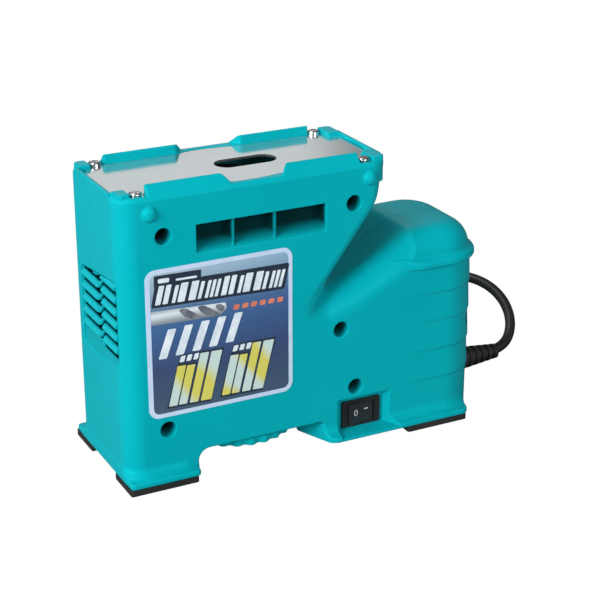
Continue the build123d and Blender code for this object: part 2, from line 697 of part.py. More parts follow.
# ---------------------------------------------------------------- drive belt
def belt_face(r1, r2):
    """Area inside an open belt round circle r1 at the spindle and r2 at the motor."""
    sine = (r1 - r2) / (MOTOR_X - SPINDLE_X)
    cosine = sqrt(1 - sine * sine)
    x1, x2 = SPINDLE_X + r1 * sine, MOTOR_X + r2 * sine
    y1, y2 = r1 * cosine, r2 * cosine
    quad = polygon([(x1, y1), (x2, y2), (x2, -y2), (x1, -y1)])
    return quad + Pos(SPINDLE_X, 0) * Circle(r1) + Pos(MOTOR_X, 0) * Circle(r2)


def drive_belt():
    r1, r2 = SPINDLE_PULLEY_R + 0.1, MOTOR_PULLEY_R + 0.1
    width = BELT_Z1 - BELT_Z0
    belt = extrude(belt_face(r1 + BELT_T, r2 + BELT_T), amount=width)
    belt = belt - Pos(0, 0, -1) * extrude(belt_face(r1, r2), amount=width + 2)
    return Pos(0, 0, BELT_Z0) * belt


# ---------------------------------------------------------------- cord, plug, wiring
PLUG_Y, PLUG_Z = 87.0, 8.0
# (x, y, z) stations of the cord, from inside the housing round to the plug
CORD_POINTS = [
    (232.0, 0, CORD_Z), (262.0, 0, CORD_Z), (286.0, 0, 20.6), (297.5, 2.0, 23.6),
    (305.0, 7.0, 29.5), (309.2, 15.0, 38.0), (309.3, 26.0, 46.5), (304.6, 40.0, 53.0),
    (295.5, 54.0, 55.2), (284.0, 66.0, 52.0), (270.0, 75.5, 43.0), (255.0, 82.0, 30.0),
    (240.0, 86.0, 17.0), (224.0, 88.0, 8.0), (208.0, 88.0, 4.8), (194.0, 87.4, 5.2),
    (180.0, 87.0, 7.0), (168.0, PLUG_Y, PLUG_Z), (150.0, PLUG_Y, PLUG_Z)]
BLADE_YS = (PLUG_Y - 6.35, PLUG_Y + 6.35)
CLAMP_X, CLAMP_SCREW_Y, CLAMP_TOP_Z = 236.0, 8.0, 26.6


def cord_sweep(r):
    path = Spline(CORD_POINTS, tangents=[(1, 0, 0), (-1, 0, 0)])
    return sweep(Plane(origin=CORD_POINTS[0], z_dir=(1, 0, 0)) * Circle(r), path=path)


def power_cord():
    return cord_sweep(CORD_R)


def cord_boot():
    """Tapered, grooved sleeve where the cord leaves the housing."""
    end_x, base_r, tip_r, length = HOUSING_X1, 8.8, 5.0, 38.0
    boot = rod_x(0, CORD_Z, end_x - 4.0, end_x + 0.1, 6.0)
    boot = boot + rod_x(0, CORD_Z, end_x - 5.5, end_x - 2.6, 8.0)
    cone = Cone(base_r, tip_r, length, align=(Align.CENTER, Align.CENTER, Align.MIN))
    boot = boot + Pos(end_x + 0.05, 0, CORD_Z) * Rot(0, 90, 0) * cone
    boot = boot + rod_x(0, CORD_Z, end_x + 0.05, end_x + 3.0, 9.2)
    for i in range(6):
        along = 6.5 + 5.2 * i
        x, r = end_x + along, base_r - (base_r - tip_r) * along / length
        groove = rod_x(0, CORD_Z, x, x + 2.4, r + 2) - rod_x(0, CORD_Z, x - 1, x + 4, r - 1.3)
        boot = boot - groove
    return biggest(boot - cord_sweep(CORD_R + 0.06))


def plug_blade(x0, y):
    return block(x0, 140.0, y - 0.75, y + 0.75, PLUG_Z - 3.15, PLUG_Z + 3.15)


def plug_body():
    body = block(134.0, 158.0, 75.5, 98.5, 1.0, 15.0)
    body = fillet(body.edges(), 3.0)
    neck = Cone(4.6, 6.2, 19.0, align=(Align.CENTER, Align.CENTER, Align.MIN))
    body = body + Pos(176.0, PLUG_Y, PLUG_Z) * Rot(0, -90, 0) * neck
    body = body - cord_sweep(CORD_R + 0.06)
    for y in BLADE_YS:
        body = body - plug_blade(133.0, y)
    return biggest(body)


def plug_pins():
    return [plug_blade(116.5, y) - rod_y(120.5, PLUG_Z, 70, 110, 1.6) for y in BLADE_YS]


def cord_clamp():
    bar = block(CLAMP_X - 4, CLAMP_X + 4, -11.0, 11.0, 23.6, CLAMP_TOP_Z)
    for side in (1, -1):
        bar = bar - rod_z(CLAMP_X, side * CLAMP_SCREW_Y, 20, 30, 1.75)
    return bar


def clamp_screws():
    return [Pos(CLAMP_X, side * CLAMP_SCREW_Y, CLAMP_TOP_Z) * pan_screw(2.9, 2.0, 1.7, 12.0)
            for side in (-1, 1)]


def capacitor():
    return fillet(block(188.0, 206.0, 14.0, 24.0, 8.5, 22.0).edges(), 1.0)


def wire(points):
    path = Spline(points)
    return sweep(Plane(origin=points[0], z_dir=path % 0) * Circle(1.1), path=path)


def lead_wires():
    """Cord to switch, switch to capacitor, cord to capacitor."""
    return [
        wire([(230.6, -1.6, 19.0), (222.0, -6.0, 15.0), (200.0, -7.0, 12.5),
              (181.0, -6.0, 14.0), (SWITCH_X + TERMINAL_X, -8.3, SWITCH_Z)]),
        wire([(SWITCH_X - TERMINAL_X, -8.3, SWITCH_Z), (150.5, -2.0, 14.0),
              (160.0, 8.0, 11.0), (176.0, 14.5, 11.0), (187.0, 17.5, 12.5)]),
        wire([(230.6, 1.6, 19.0), (224.0, 8.0, 15.0), (214.0, 14.0, 12.0),
              (207.2, 17.5, 12.0)])]


# ---------------------------------------------------------------- export
front_shell, rear_shell = body_shells()
export_part("front_shell", front_shell)
export_part("rear_shell", rear_shell)

# each function is named after the file it fills
for build in (
        guide_plate, plate_screws, case_screws, corner_screw, rubber_feet, face_label,
        switch_body, switch_rocker, switch_terminals, height_knob, adjuster_bush,
        thrust_ball, grinding_spindle, spindle_quill, spindle_bottom_bearing,
        spindle_top_bearing, spindle_bracket, spindle_pulley, wheel_hub, diamond_rim,
        wheel_nut, motor_shaft, motor_pulley, motor_bottom_bearing, motor_top_bearing,
        cooling_fan, armature_core, armature_windings, commutator, motor_stator,
        field_coils, motor_bottom_bracket, motor_top_bracket, motor_bolts, brush_holders,
        carbon_brushes, drive_belt, power_cord, cord_boot, plug_body, plug_pins,
        cord_clamp, clamp_screws, capacitor, lead_wires):
    export_part(build.__name__, build())
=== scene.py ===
"""Bench grinder with a diamond wheel: a teal two-part case, a steel guide plate and a label.

x runs from the left end to the motor housing at the right end, -y is the front and z is up.
The two case halves are distance fields in millimetres: a field is negative inside the plastic.
In case coordinates x = 0 is the left edge of the feet; metres() places them in the frame.
"""
import itertools
import math
from concurrent.futures import ThreadPoolExecutor
from functools import reduce

import bmesh
import bpy
import numpy as np
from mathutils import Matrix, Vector

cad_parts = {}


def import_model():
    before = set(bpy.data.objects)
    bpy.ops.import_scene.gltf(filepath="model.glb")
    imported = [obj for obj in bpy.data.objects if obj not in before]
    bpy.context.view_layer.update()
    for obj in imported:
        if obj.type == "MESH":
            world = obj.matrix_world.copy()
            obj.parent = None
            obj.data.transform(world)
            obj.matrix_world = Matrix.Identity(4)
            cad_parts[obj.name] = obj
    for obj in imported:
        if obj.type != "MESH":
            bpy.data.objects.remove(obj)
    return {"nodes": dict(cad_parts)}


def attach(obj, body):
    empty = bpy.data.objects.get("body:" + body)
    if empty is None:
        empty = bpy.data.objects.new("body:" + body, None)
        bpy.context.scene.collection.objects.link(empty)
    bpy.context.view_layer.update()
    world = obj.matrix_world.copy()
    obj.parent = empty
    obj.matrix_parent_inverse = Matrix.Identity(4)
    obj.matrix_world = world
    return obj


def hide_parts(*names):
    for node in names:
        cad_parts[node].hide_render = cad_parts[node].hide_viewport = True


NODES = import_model()["nodes"]
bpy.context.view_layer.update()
F = np.float32

# Driving sizes of the case (mm)
BODY_X = -118.0                    # where the case's x = 0 lies in the frame
HALF_WIDTH = 40.8
BASE_Z, TOP_Z = 4.3, 184.1
CORNER_R = 13.0                    # vertical corners at the left end
END_X, END_R = 250.5, 28.0         # right end of the motor housing and its corners
KNOB_X, KNOB_CLEARANCE = 89.0, 40.7
BAND_EDGES = (109.5, 91.0, 72.0, 52.0, 32.0)      # heights of the clapboard bands
RAIL_INNER_Y, RAIL_TOP = 31.7, 189.5
CASE_SCREWS = [(28.5, 159.3), (153.5, 160.3), (145.3, 78.9), (156.1, 37.8), (28.0, 36.4)]  # x, z
PLATE_SCREWS = [(15.5, 32.8), (15.5, -32.8), (163.5, 32.8), (163.5, -32.8)]                # x, y
TOP_DOMES = [(20.4, 173.9), (164.0, 174.7)]                                                # x, z
OUTLET = (244.26, -30.42, 64.3)    # middle of the round hole in the housing's front corner
OUTLET_TURN = math.radians(-39)
RECESS_Z = (145.4, 163.2)
# Cells of the dust recess: cell x range, then the x range of the slot behind it
RECESS_CELLS = [
    (49.2, 72.5, 50.6, 71.2),
    (74.3, 99.6, 75.6, 98.2),
    (101.4, 134.0, 102.8, 132.6),
]
VENT_SPLIT_Y = -8.6                # gap between the two columns of louvres
BLADE_PITCH = 8.0
# Front half of the outline of the plate's tray (x, y); the rear half mirrors it
TRAY_FRONT = [
    (4.0, -19.0), (6.2, -25.6), (11.0, -26.2), (11.3, -37.3), (19.8, -37.3), (20.9, -31.6),
    (67.9, -31.6), (70.5, -32.4), (75.0, -34.2), (82.5, -35.2), (90.0, -35.0), (97.0, -34.2),
    (106.6, -32.6), (112.2, -31.6), (159.2, -31.6), (160.1, -37.3), (167.5, -37.3),
    (167.9, -20.6), (175.0, -20.0), (176.4, -10.0), (176.8, 0.0),
]
TRAY = TRAY_FRONT + [(x, -y) for x, y in reversed(TRAY_FRONT[:-1])]


def metres(point):
    """Case millimetres to frame metres."""
    x, y, z = point
    return ((x + BODY_X) / 1000, y / 1000, z / 1000)


# ---- distance-field tools -------------------------------------------------------------
def join(*fields):
    return reduce(np.minimum, fields)


def meet(*fields):
    return reduce(np.maximum, fields)


def soft_join(first, second, reach):
    overlap = np.maximum(reach - np.abs(first - second), 0) / reach
    return np.minimum(first, second) - overlap * overlap * reach * 0.25


def round_meet(first, second, radius):
    u = np.maximum(first + radius, 0)
    v = np.maximum(second + radius, 0)
    flat = np.minimum(np.maximum(first + radius, second + radius), 0)
    return flat + np.sqrt(u * u + v * v) - radius


def round_join(first, second, radius):
    return -round_meet(-first, -second, radius)


def carve(body, cut, radius=0):
    """Take the cut out of the body, rounding the edge by radius."""
    return round_meet(body, -cut, radius) if radius else np.maximum(body, -cut)


def smooth_step(value, start, end):
    t = np.clip((value - start) / (end - start), 0, 1)
    return t * t * (3 - 2 * t)


def round_rect(x, y, mid_x, half_x, half_y, radius):
    """Rounded rectangle in plan, centred on y = 0."""
    u = np.abs(x - mid_x) - (half_x - radius)
    v = np.abs(y) - (half_y - radius)
    return np.minimum(meet(u, v), 0) + np.hypot(np.maximum(u, 0), np.maximum(v, 0)) - radius


def box(x, y, z, x_range, y_range, z_range, radius=0.0):
    u, v, w = [np.abs(value - (low + high) / 2) - ((high - low) / 2 - radius)
               for value, (low, high) in zip((x, y, z), (x_range, y_range, z_range))]
    within = np.minimum(meet(u, v, w), 0)
    away = np.maximum(u, 0) ** 2 + np.maximum(v, 0) ** 2 + np.maximum(w, 0) ** 2
    return within + np.sqrt(away) - radius


def polygon(x, y, points):
    nearest = None
    outside_it = np.ones(x.shape, bool)
    for i, (ax, ay) in enumerate(points):
        bx, by = points[i - 1]
        edge_x, edge_y = bx - ax, by - ay
        from_x, from_y = x - ax, y - ay
        along = (from_x * edge_x + from_y * edge_y) / (edge_x * edge_x + edge_y * edge_y)
        along = np.clip(along, 0, 1)
        dx, dy = from_x - edge_x * along, from_y - edge_y * along
        square = dx * dx + dy * dy
        nearest = square if nearest is None else np.minimum(nearest, square)
        above = y >= ay
        below = y < by
        left = edge_x * from_y > edge_y * from_x
        outside_it ^= (above & below & left) | (~above & ~below & ~left)
    return np.where(outside_it, 1, -1) * np.sqrt(nearest)


# ---- outer form of the case -----------------------------------------------------------
def band_relief(x, z):
    """Clapboard relief of the motor housing: each band grows outwards to its lower edge."""
    relief = np.zeros_like(z)
    for low, high in zip(BAND_EDGES[1:], BAND_EDGES):
        grown = np.clip((high - z) / (high - low), 0, 1)
        relief = relief + grown * np.clip((z - low + 0.5) / 1.3, 0, 1) * 0.62 * (z < high)
    return relief * smooth_step(x, 186, 222)


def end_plan(x, side, growth=0.0, radius=END_R):
    """Plan of the motor housing, grown outwards."""
    return round_meet(x - END_X - growth, side - HALF_WIDTH - growth, radius)


def plate_plan(x, y):
    return round_rect(x, y, 89.75, 89.25, HALF_WIDTH, CORNER_R)


def crowned_top(x, z):
    """Top of the motor housing, highest at x = 222."""
    return z - 132.0 + 0.00085 * (x - 222) ** 2


def core(x, y, z, relief=True):
    """The case without rails, plate rims and lip."""
    side = np.abs(y)
    bands = band_relief(x, z) if relief else 0.0
    # side profile: undercut wall of the tall part, slope and top of the motor housing
    undercut = 0.796 * (x - 127.6) - 0.605 * (z - 100.0)
    tall = round_meet(x - 179.0, undercut, 14.0)
    slope = 0.9068 * (z - 95.2) - 0.4216 * (x - 122.0)
    slope = slope + 2.6 * np.clip(1.0 - ((x - 162.0) / 39.0) ** 2, 0.0, 1.0)
    housing = round_meet(slope, crowned_top(x, z), 1.6)
    profile = soft_join(tall, housing, 16.0)
    # underside: belly, left foot block, base of the motor housing
    knob_room = KNOB_CLEARANCE - np.hypot(x - KNOB_X, y)
    oblique = -0.927 * (x - 124.4) + 0.3756 * (side - 18.3)
    base = round_meet(knob_room, oblique, 2.0)
    underside = round_join(17.5 - z, base, 2.0)
    foot_block = round_meet(x - 48.0, np.minimum(knob_room, 40), 1.0)
    underside = round_join(underside, foot_block, 7.0)
    # plan, with edge rounding that changes with height and along the slope
    left_plan = round_meet(0.5 - x, side - HALF_WIDTH - bands, CORNER_R)
    plan = meet(left_plan, end_plan(x, side, bands))
    radius = 1.8 + 4.7 * smooth_step(z, 55, 92) + 6.5 * smooth_step(z, 158, 174)
    on_slope = smooth_step(tall - housing, -5, 9)
    radius = radius + (17.5 - radius) * on_slope * smooth_step(x, 118, 140)
    body = round_meet(profile, plan, radius)
    # dome above the lip
    inset = smooth_step(x, 178, 200)
    dome = round_meet(end_plan(x, side) + inset, crowned_top(x, z), 17.0)
    above_lip = smooth_step(z, 110.9, 111.6)
    dome = soft_join(dome, tall, 10.0)
    body = meet(body, dome * above_lip + (1 - above_lip) * -50)
    body = round_meet(body, underside, 1.6)
    # foot flanges with a cove
    flange = round_meet(round_rect(x, y, 23.3, 23.1, 47.7, 3.0), z - 8.0, 1.2)
    body = round_join(body, flange, 2.6 + 4.4 * (1 - smooth_step(x, 38, 48)))
    flange = round_meet(round_meet(x - 238.6, side - 47.9, 6.0), oblique - 0.4, 5.0)
    flange = round_meet(flange, z - 8.0, 1.2)
    body = round_join(body, flange, 7.0)
    body = round_meet(body, round_meet(underside, 0.25 - x, 1.0), 1.2)
    body = round_meet(body, z - TOP_Z, 3.0)
    return round_meet(body, BASE_Z - z, 0.7)


def rails(x, y, z):
    """Raised rails along the front and rear edges of the top, each in two lengths."""
    side = np.abs(y)
    section = 0.724 * (side - 33.2) + 0.690 * (z - RAIL_TOP)
    section = round_meet(section, z - RAIL_TOP, 0.6)
    section = round_meet(section, RAIL_INNER_Y - side, 0.6)
    section = meet(section, side - 40.3, 175.0 - z)
    mitre = side - RAIL_INNER_Y
    left = meet(21.0 - x, x - 73.2, 0.7071 * (x - 68.0 - mitre))
    right = meet(106.8 - x, x - 159.0, 0.7071 * (112.0 - x - mitre))
    return round_meet(section, join(left, right), 0.7)


def outside(x, y, z):
    side = np.abs(y)
    body = round_join(core(x, y, z), rails(x, y, z), 0.8)
    # thin rims at both ends of the plate and the raised corner blocks
    plan = plate_plan(x, y)
    rim = round_meet(meet(plan + 0.25, -(plan + 2.6)), z - 185.5, 0.5)
    rim = meet(rim, 172.0 - z, join(x - 9.0, 168.0 - x), side - 27.5)
    body = join(body, rim)
    blocks = join(box(x, side, z, (2.9, 10.7), (26.2, 37.2), (170, 186.4), 0.9),
                  box(x, side, z, (168.2, 177.0), (21.2, 36.6), (170, 186.4), 0.9))
    body = round_join(body, meet(blocks, plan + 0.6), 0.6)
    # lip round the motor housing
    growth = -5.0 + 7.9 * smooth_step(x, 175, 206)
    lip = end_plan(x, side, growth, END_R + 2.7)
    lip_top = 0.80 * (z - 115.2) + 0.60 * np.maximum(end_plan(x, side), -1.5)
    lip = round_meet(round_meet(lip, lip_top, 1.3), 109.2 - z, 1.2)
    body = round_join(body, meet(lip, 183.5 - x), 0.8)
    # two small domes near the top corners of the front
    for dome_x, dome_z in TOP_DOMES:
        square = (x - dome_x) ** 2 + ((y + 39.6) * 1.12) ** 2 + (z - dome_z) ** 2
        body = soft_join(body, np.sqrt(square) - 4.95, 0.7)
    return body


# ---- inner walls and cuts -------------------------------------------------------------
def add_bosses(body, plain_core, x, y, z):
    """Screw bosses of the case (along y) and of the plate (upright)."""
    bosses = np.full(x.shape, 1e3, x.dtype)
    for screw_x, screw_z in CASE_SCREWS:
        away = np.hypot(x - screw_x, z - screw_z)
        bosses = join(bosses, np.where(y < 0, away - 7.2, away - 5.6))
    for screw_x, screw_y in PLATE_SCREWS:
        sign = 1 if screw_y > 0 else -1
        block = meet(np.abs(x - screw_x) - 5.5, screw_y * sign - 5.2 - y * sign, 168 - z)
        bosses = join(bosses, block)
    return join(body, meet(bosses, plain_core + 1.0, z - 182.0))


def add_inner_walls(body, plain_core, outer, x, y, z):
    """Cradle ribs of the motor, then walls of the dust recess and the switch pocket."""
    ribs = join(np.abs(z - 84.5), np.abs(z - 98.5)) - 1.5
    ribs = meet(ribs, 31.3 - np.hypot(x - 210.0, y), 172 - x)
    body = join(body, meet(ribs, plain_core + 1.0))
    recess = box(x, y, z, (47.2, 136), (-50, -28.5), (143.2, 164.7))
    body = join(body, meet(recess, plain_core + 0.6))
    pocket = box(x, y, z, (141.0, 183.5), (-50, -33.0), (BASE_Z, 32.5))
    return join(body, meet(pocket, outer + 0.3))


def carve_plate_seat(body, x, y, z):
    body = carve(body, meet(polygon(x, y, TRAY), 182.0 - z), 0.35)
    return carve(body, meet(round_rect(x, y, 98.0, 48.0, 28.0, 3.0), np.abs(z - 180) - 8))


def carve_dust_recess(body, x, y, z):
    """Cells in the front wall with a common mouth, a sloping floor and rear slots."""
    cuts = [box(x, y, z, (left, right), (-60, -30.4), RECESS_Z, 0.35)
            for left, right, _, _ in RECESS_CELLS]
    mouth = (RECESS_CELLS[0][0], RECESS_CELLS[-1][1])
    cuts.append(box(x, y, z, mouth, (-60, -39.4), RECESS_Z, 0.35))
    slope = 0.87 * (z - 145.6) - 0.49 * (y + 40.6)
    body = carve(body, meet(join(*cuts), -slope), 0.45)
    slots = [box(x, y, z, (left, right), (-32, -26), (159.6, 162.0))
             for _, _, left, right in RECESS_CELLS]
    return carve(body, join(*slots))


def carve_switch_pocket(body, x, y, z):
    """Switch pocket at the front, open towards the foot flange."""
    right_wall = 0.82 * (x - 181.0) + 0.57 * (y + HALF_WIDTH)
    sill = 0.985 * (z - 6.2) - 0.17 * (y + 48.0)
    pocket = meet(143.6 - x, z - 30.0, y + 35.6, right_wall, -sill)
    body = carve(body, pocket, 0.6)
    return carve(body, box(x, y, z, (150.0, 174.2), (-38, -30), (9.2, 24.8)))


def carve_screw_holes(body, x, y, z):
    """Counterbored case screws and the plate's pilot holes."""
    for screw_x, screw_z in CASE_SCREWS:
        away = np.hypot(x - screw_x, z - screw_z)
        body = np.where(away < 12, carve(body, meet(away - 5.0, y + 17.0), 0.75), body)
        body = carve(body, meet(away - np.where(y < -0.5, 2.2, 1.8), y - 13.0, -60 - y))
    for screw_x, screw_y in PLATE_SCREWS:
        body = carve(body, meet(np.hypot(x - screw_x, y - screw_y) - 2.1, 170.5 - z))
    return body


def louvre_blade(x, z):
    """Section of one sloping blade."""
    u = (x - 3.9) * 0.60 + z * 0.80
    v = (x - 3.9) * 0.80 - z * 0.60
    return round_meet(np.abs(u + 3.3) - 2.3, np.abs(v) - 1.25, 1.15)


def cut_louvres(body, x, y, z):
    """Louvred panel in the left end: a shallow panel, two windows and their blades."""
    top = 129.6 - 0.125 * (y + 4.0)
    bottom = 74.6 + 0.0042 * (y - 9.0) ** 2
    panel = round_meet(round_meet(np.abs(y + 3.8) - 28.4, z - top, 3.5), bottom - z, 2.0)
    body = carve(body, meet(panel, x - 1.7), 0.5)
    split = np.abs(y - VENT_SPLIT_Y)
    rear_column = y > VENT_SPLIT_Y
    window = meet(panel + 1.2, np.where(x > 4.0, 0.45 - split, -1.0),
                  np.where(rear_column, 87.0, 83.4) - z)
    body = carve(body, meet(window, x - 7.0), 0.4)
    # the rear column's blades curl upwards next to the split
    curl = np.where(rear_column, 0.045 * np.minimum(y, 0.0) ** 2, 0.0)
    half = BLADE_PITCH / 2
    level = np.mod(z - curl - 124.0 + half, BLADE_PITCH) - half
    blades = join(louvre_blade(x, level), louvre_blade(x, level - BLADE_PITCH))
    blades = round_meet(blades, 0.3 - split, 0.8)
    blades = meet(blades, panel + 0.7, 0.15 - x, 84.5 - z, np.abs(x - 3) - 6)
    return join(body, blades)


def carve_bores(body, x, y, z):
    """Round outlet, cord entry in the right end, adjuster bore and left-end screw hole."""
    outlet_x, outlet_y, outlet_z = OUTLET
    axis_x, axis_y = math.cos(OUTLET_TURN), math.sin(OUTLET_TURN)
    along = (x - outlet_x) * axis_x + (y - outlet_y) * axis_y
    across = -(x - outlet_x) * axis_y + (y - outlet_y) * axis_x
    away = np.sqrt(across ** 2 + (z - outlet_z) ** 2)
    body = carve(body, meet(away - 4.4, np.abs(along) - 7.0), 0.6)
    body = carve(body, meet(np.hypot(y, z - 20.0) - 6.1, np.abs(x - 249) - 8))
    body = carve(body, meet(np.hypot(x - KNOB_X, y) - 12.0, z - 24.0))
    return carve(body, meet(np.hypot(x - 9, z - 65.0) - 1.9, 33 - y))


def shell(x, y, z):
    """The hollow case, both halves together."""
    outer = outside(x, y, z)
    plain_core = core(x, y, z, relief=False)
    body = carve(outer, round_meet(plain_core + 2.5, z - 179.3, 1.0))
    body = add_bosses(body, plain_core, x, y, z)
    body = add_inner_walls(body, plain_core, outer, x, y, z)
    for step in (carve_plate_seat, carve_dust_recess, carve_switch_pocket,
                 carve_screw_holes, cut_louvres, carve_bores):
        body = step(body, x, y, z)
    return body


JOINT_GAP, JOINT_R = 0.04, 0.22


def parting(x):
    """The halves meet at y = 0, but at y = 9 at the left end."""
    return 9.0 * (1 - smooth_step(x, 4.5, 9.5))


def front_field(x, y, z):
    return round_meet(shell(x, y, z), y - parting(x) + JOINT_GAP, JOINT_R)


def rear_field(x, y, z):
    return round_meet(shell(x, y, z), parting(x) + JOINT_GAP - y, JOINT_R)


# ---- from field to mesh ---------------------------------------------------------------
POOL = ThreadPoolExecutor(4)
CHUNK = 150000                     # points evaluated at a time
SLAB = 6                           # grid layers evaluated at a time
CORNERS = list(itertools.product((0, 1), repeat=3))


def eval_points(field, points):
    values = np.empty(len(points), F)

    def job(start):
        part = points[start:start + CHUNK]
        values[start:start + CHUNK] = field(*(part[:, axis].copy() for axis in range(3)))
    list(POOL.map(job, range(0, len(points), CHUNK)))
    return values


def eval_grid(field, low, cell, size):
    xs, ys, zs = [(low[axis] + cell * np.arange(size[axis])).astype(F) for axis in range(3)]
    grid = np.empty(size, F)
    y_layer, z_layer = [layer.ravel() for layer in np.meshgrid(ys, zs, indexing="ij")]

    def job(start):
        end = min(start + SLAB, size[0])
        count = end - start
        x_all = np.repeat(xs[start:end], len(y_layer))
        values = field(x_all, np.tile(y_layer, count), np.tile(z_layer, count))
        grid[start:end] = values.reshape(count, size[1], size[2])
    list(POOL.map(job, range(0, size[0], SLAB)))
    return grid


def surface_nets(grid, low, cell):
    """One vertex per grid cell that the surface crosses, one quad per crossed grid edge."""
    inside = grid < 0
    count = np.zeros(tuple(size - 1 for size in grid.shape), np.uint8)
    for corner in CORNERS:
        count += inside[tuple(slice(o, o + size) for o, size in zip(corner, count.shape))]
    cells = np.nonzero((count > 0) & (count < 8))
    total = len(cells[0])
    index = np.full(count.shape, -1, np.int32)
    index[cells] = np.arange(total, dtype=np.int32)
    sums = np.zeros((total, 3), F)
    crossings = np.zeros(total, F)
    for corner in CORNERS:
        for axis in range(3):
            if corner[axis]:
                continue
            other = list(corner)
            other[axis] = 1
            here = grid[tuple(cells[i] + corner[i] for i in range(3))]
            there = grid[tuple(cells[i] + other[i] for i in range(3))]
            crossed = (here < 0) != (there < 0)
            along = np.where(crossed, here / np.where(crossed, here - there, 1), 0)
            for i in range(3):
                sums[:, i] += crossed * (corner[i] + (along if i == axis else 0))
            crossings += crossed
    points = (np.stack(cells, 1) + sums / crossings[:, None]) * cell + np.array(low)

    quads = []
    for axis in range(3):
        first, second = [i for i in range(3) if i != axis]
        near, far = [slice(None)] * 3, [slice(None)] * 3
        near[axis], far[axis] = slice(0, -1), slice(1, None)
        near, far = inside[tuple(near)], inside[tuple(far)]
        edges = [i.astype(np.int32) for i in np.nonzero(near != far)]
        usable = (edges[first] > 0) & (edges[second] > 0)
        usable &= (edges[first] < count.shape[first]) & (edges[second] < count.shape[second])
        edges = [i[usable] for i in edges]
        corners = []
        for back_first, back_second in ((1, 1), (0, 1), (0, 0), (1, 0)):
            place = list(edges)
            place[first] = place[first] - back_first
            place[second] = place[second] - back_second
            corners.append(index[tuple(place)])
        quad = np.stack(corners, 1)
        starts_inside = near[tuple(edges)]
        flip = starts_inside if axis == 1 else ~starts_inside
        quad[flip] = quad[flip][:, ::-1]
        quads.append(quad)
    return points.astype(np.float64), np.concatenate(quads)


def differences(field, points, step):
    """Change of the field across each point along the three axes, step to either side."""
    change = np.empty_like(points)
    for axis in range(3):
        ahead, behind = points.copy(), points.copy()
        ahead[:, axis] += step
        behind[:, axis] -= step
        change[:, axis] = eval_points(field, ahead) - eval_points(field, behind)
    return change


def project(field, points, cell):
    """Move the points onto the surface in three limited steps."""
    step = F(0.12)
    for _ in range(3):
        start = points.astype(F)
        gradient = differences(field, start, step) / (2 * step)
        distance = eval_points(field, start)
        square = np.maximum((gradient * gradient).sum(1), 0.3)
        move = -(distance / square)[:, None] * gradient
        length = np.linalg.norm(move, axis=1)
        move *= np.minimum(1, 0.45 * cell / np.maximum(length, 1e-9))[:, None]
        points = points + move
    return points


def field_normals(field, points):
    change = differences(field, points.astype(F), F(0.15))
    return change / np.maximum(np.linalg.norm(change, axis=1), 1e-9)[:, None]


def quad_object(name, points, quads):
    mesh = bpy.data.meshes.new(name)
    mesh.vertices.add(len(points))
    mesh.vertices.foreach_set("co", np.ascontiguousarray(points, dtype=F).ravel())
    mesh.loops.add(quads.size)
    mesh.loops.foreach_set("vertex_index", quads.ravel().astype(np.int32))
    mesh.polygons.add(len(quads))
    mesh.polygons.foreach_set("loop_start", np.arange(0, quads.size, 4, dtype=np.int32))
    mesh.update(calc_edges=True)
    mesh.validate()
    return link_object(name, mesh)


def link_object(name, data):
    thing = bpy.data.objects.new(name, data)
    bpy.context.scene.collection.objects.link(thing)
    return thing


def decimate(piece, ratio):
    modifier = piece.modifiers.new("decimate", "DECIMATE")
    modifier.ratio = ratio
    depsgraph = bpy.context.evaluated_depsgraph_get()
    mesh = bpy.data.meshes.new_from_object(piece.evaluated_get(depsgraph))
    piece.modifiers.clear()
    old = piece.data
    piece.data = mesh
    bpy.data.meshes.remove(old)


def case_half(name, field, y_range, shader, replaced):
    cell = 0.75
    keep = 0.42
    low, high = (-2.0, y_range[0], 2.0), (257.0, y_range[1], 192.0)
    size = tuple(int(math.ceil((high[i] - low[i]) / cell)) + 1 for i in range(3))
    points, quads = surface_nets(eval_grid(field, low, cell, size), low, cell)
    placed = project(field, points, cell).copy()
    placed[:, 0] += BODY_X
    half = quad_object(name, placed / 1000.0, quads)
    if keep < 1:
        decimate(half, keep)
    # smooth shading with normals taken from the field
    mesh = half.data
    flat = np.empty(len(mesh.vertices) * 3, F)
    mesh.vertices.foreach_get("co", flat)
    points = flat.reshape(-1, 3) * 1000.0
    points[:, 0] -= BODY_X
    normals = field_normals(field, points)
    mesh.polygons.foreach_set("use_smooth", np.ones(len(mesh.polygons), bool))
    mesh.normals_split_custom_set_from_vertices(normals.astype(F).tolist())
    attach(half, "housing")
    mesh.materials.append(shader.material)
    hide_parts(replaced)


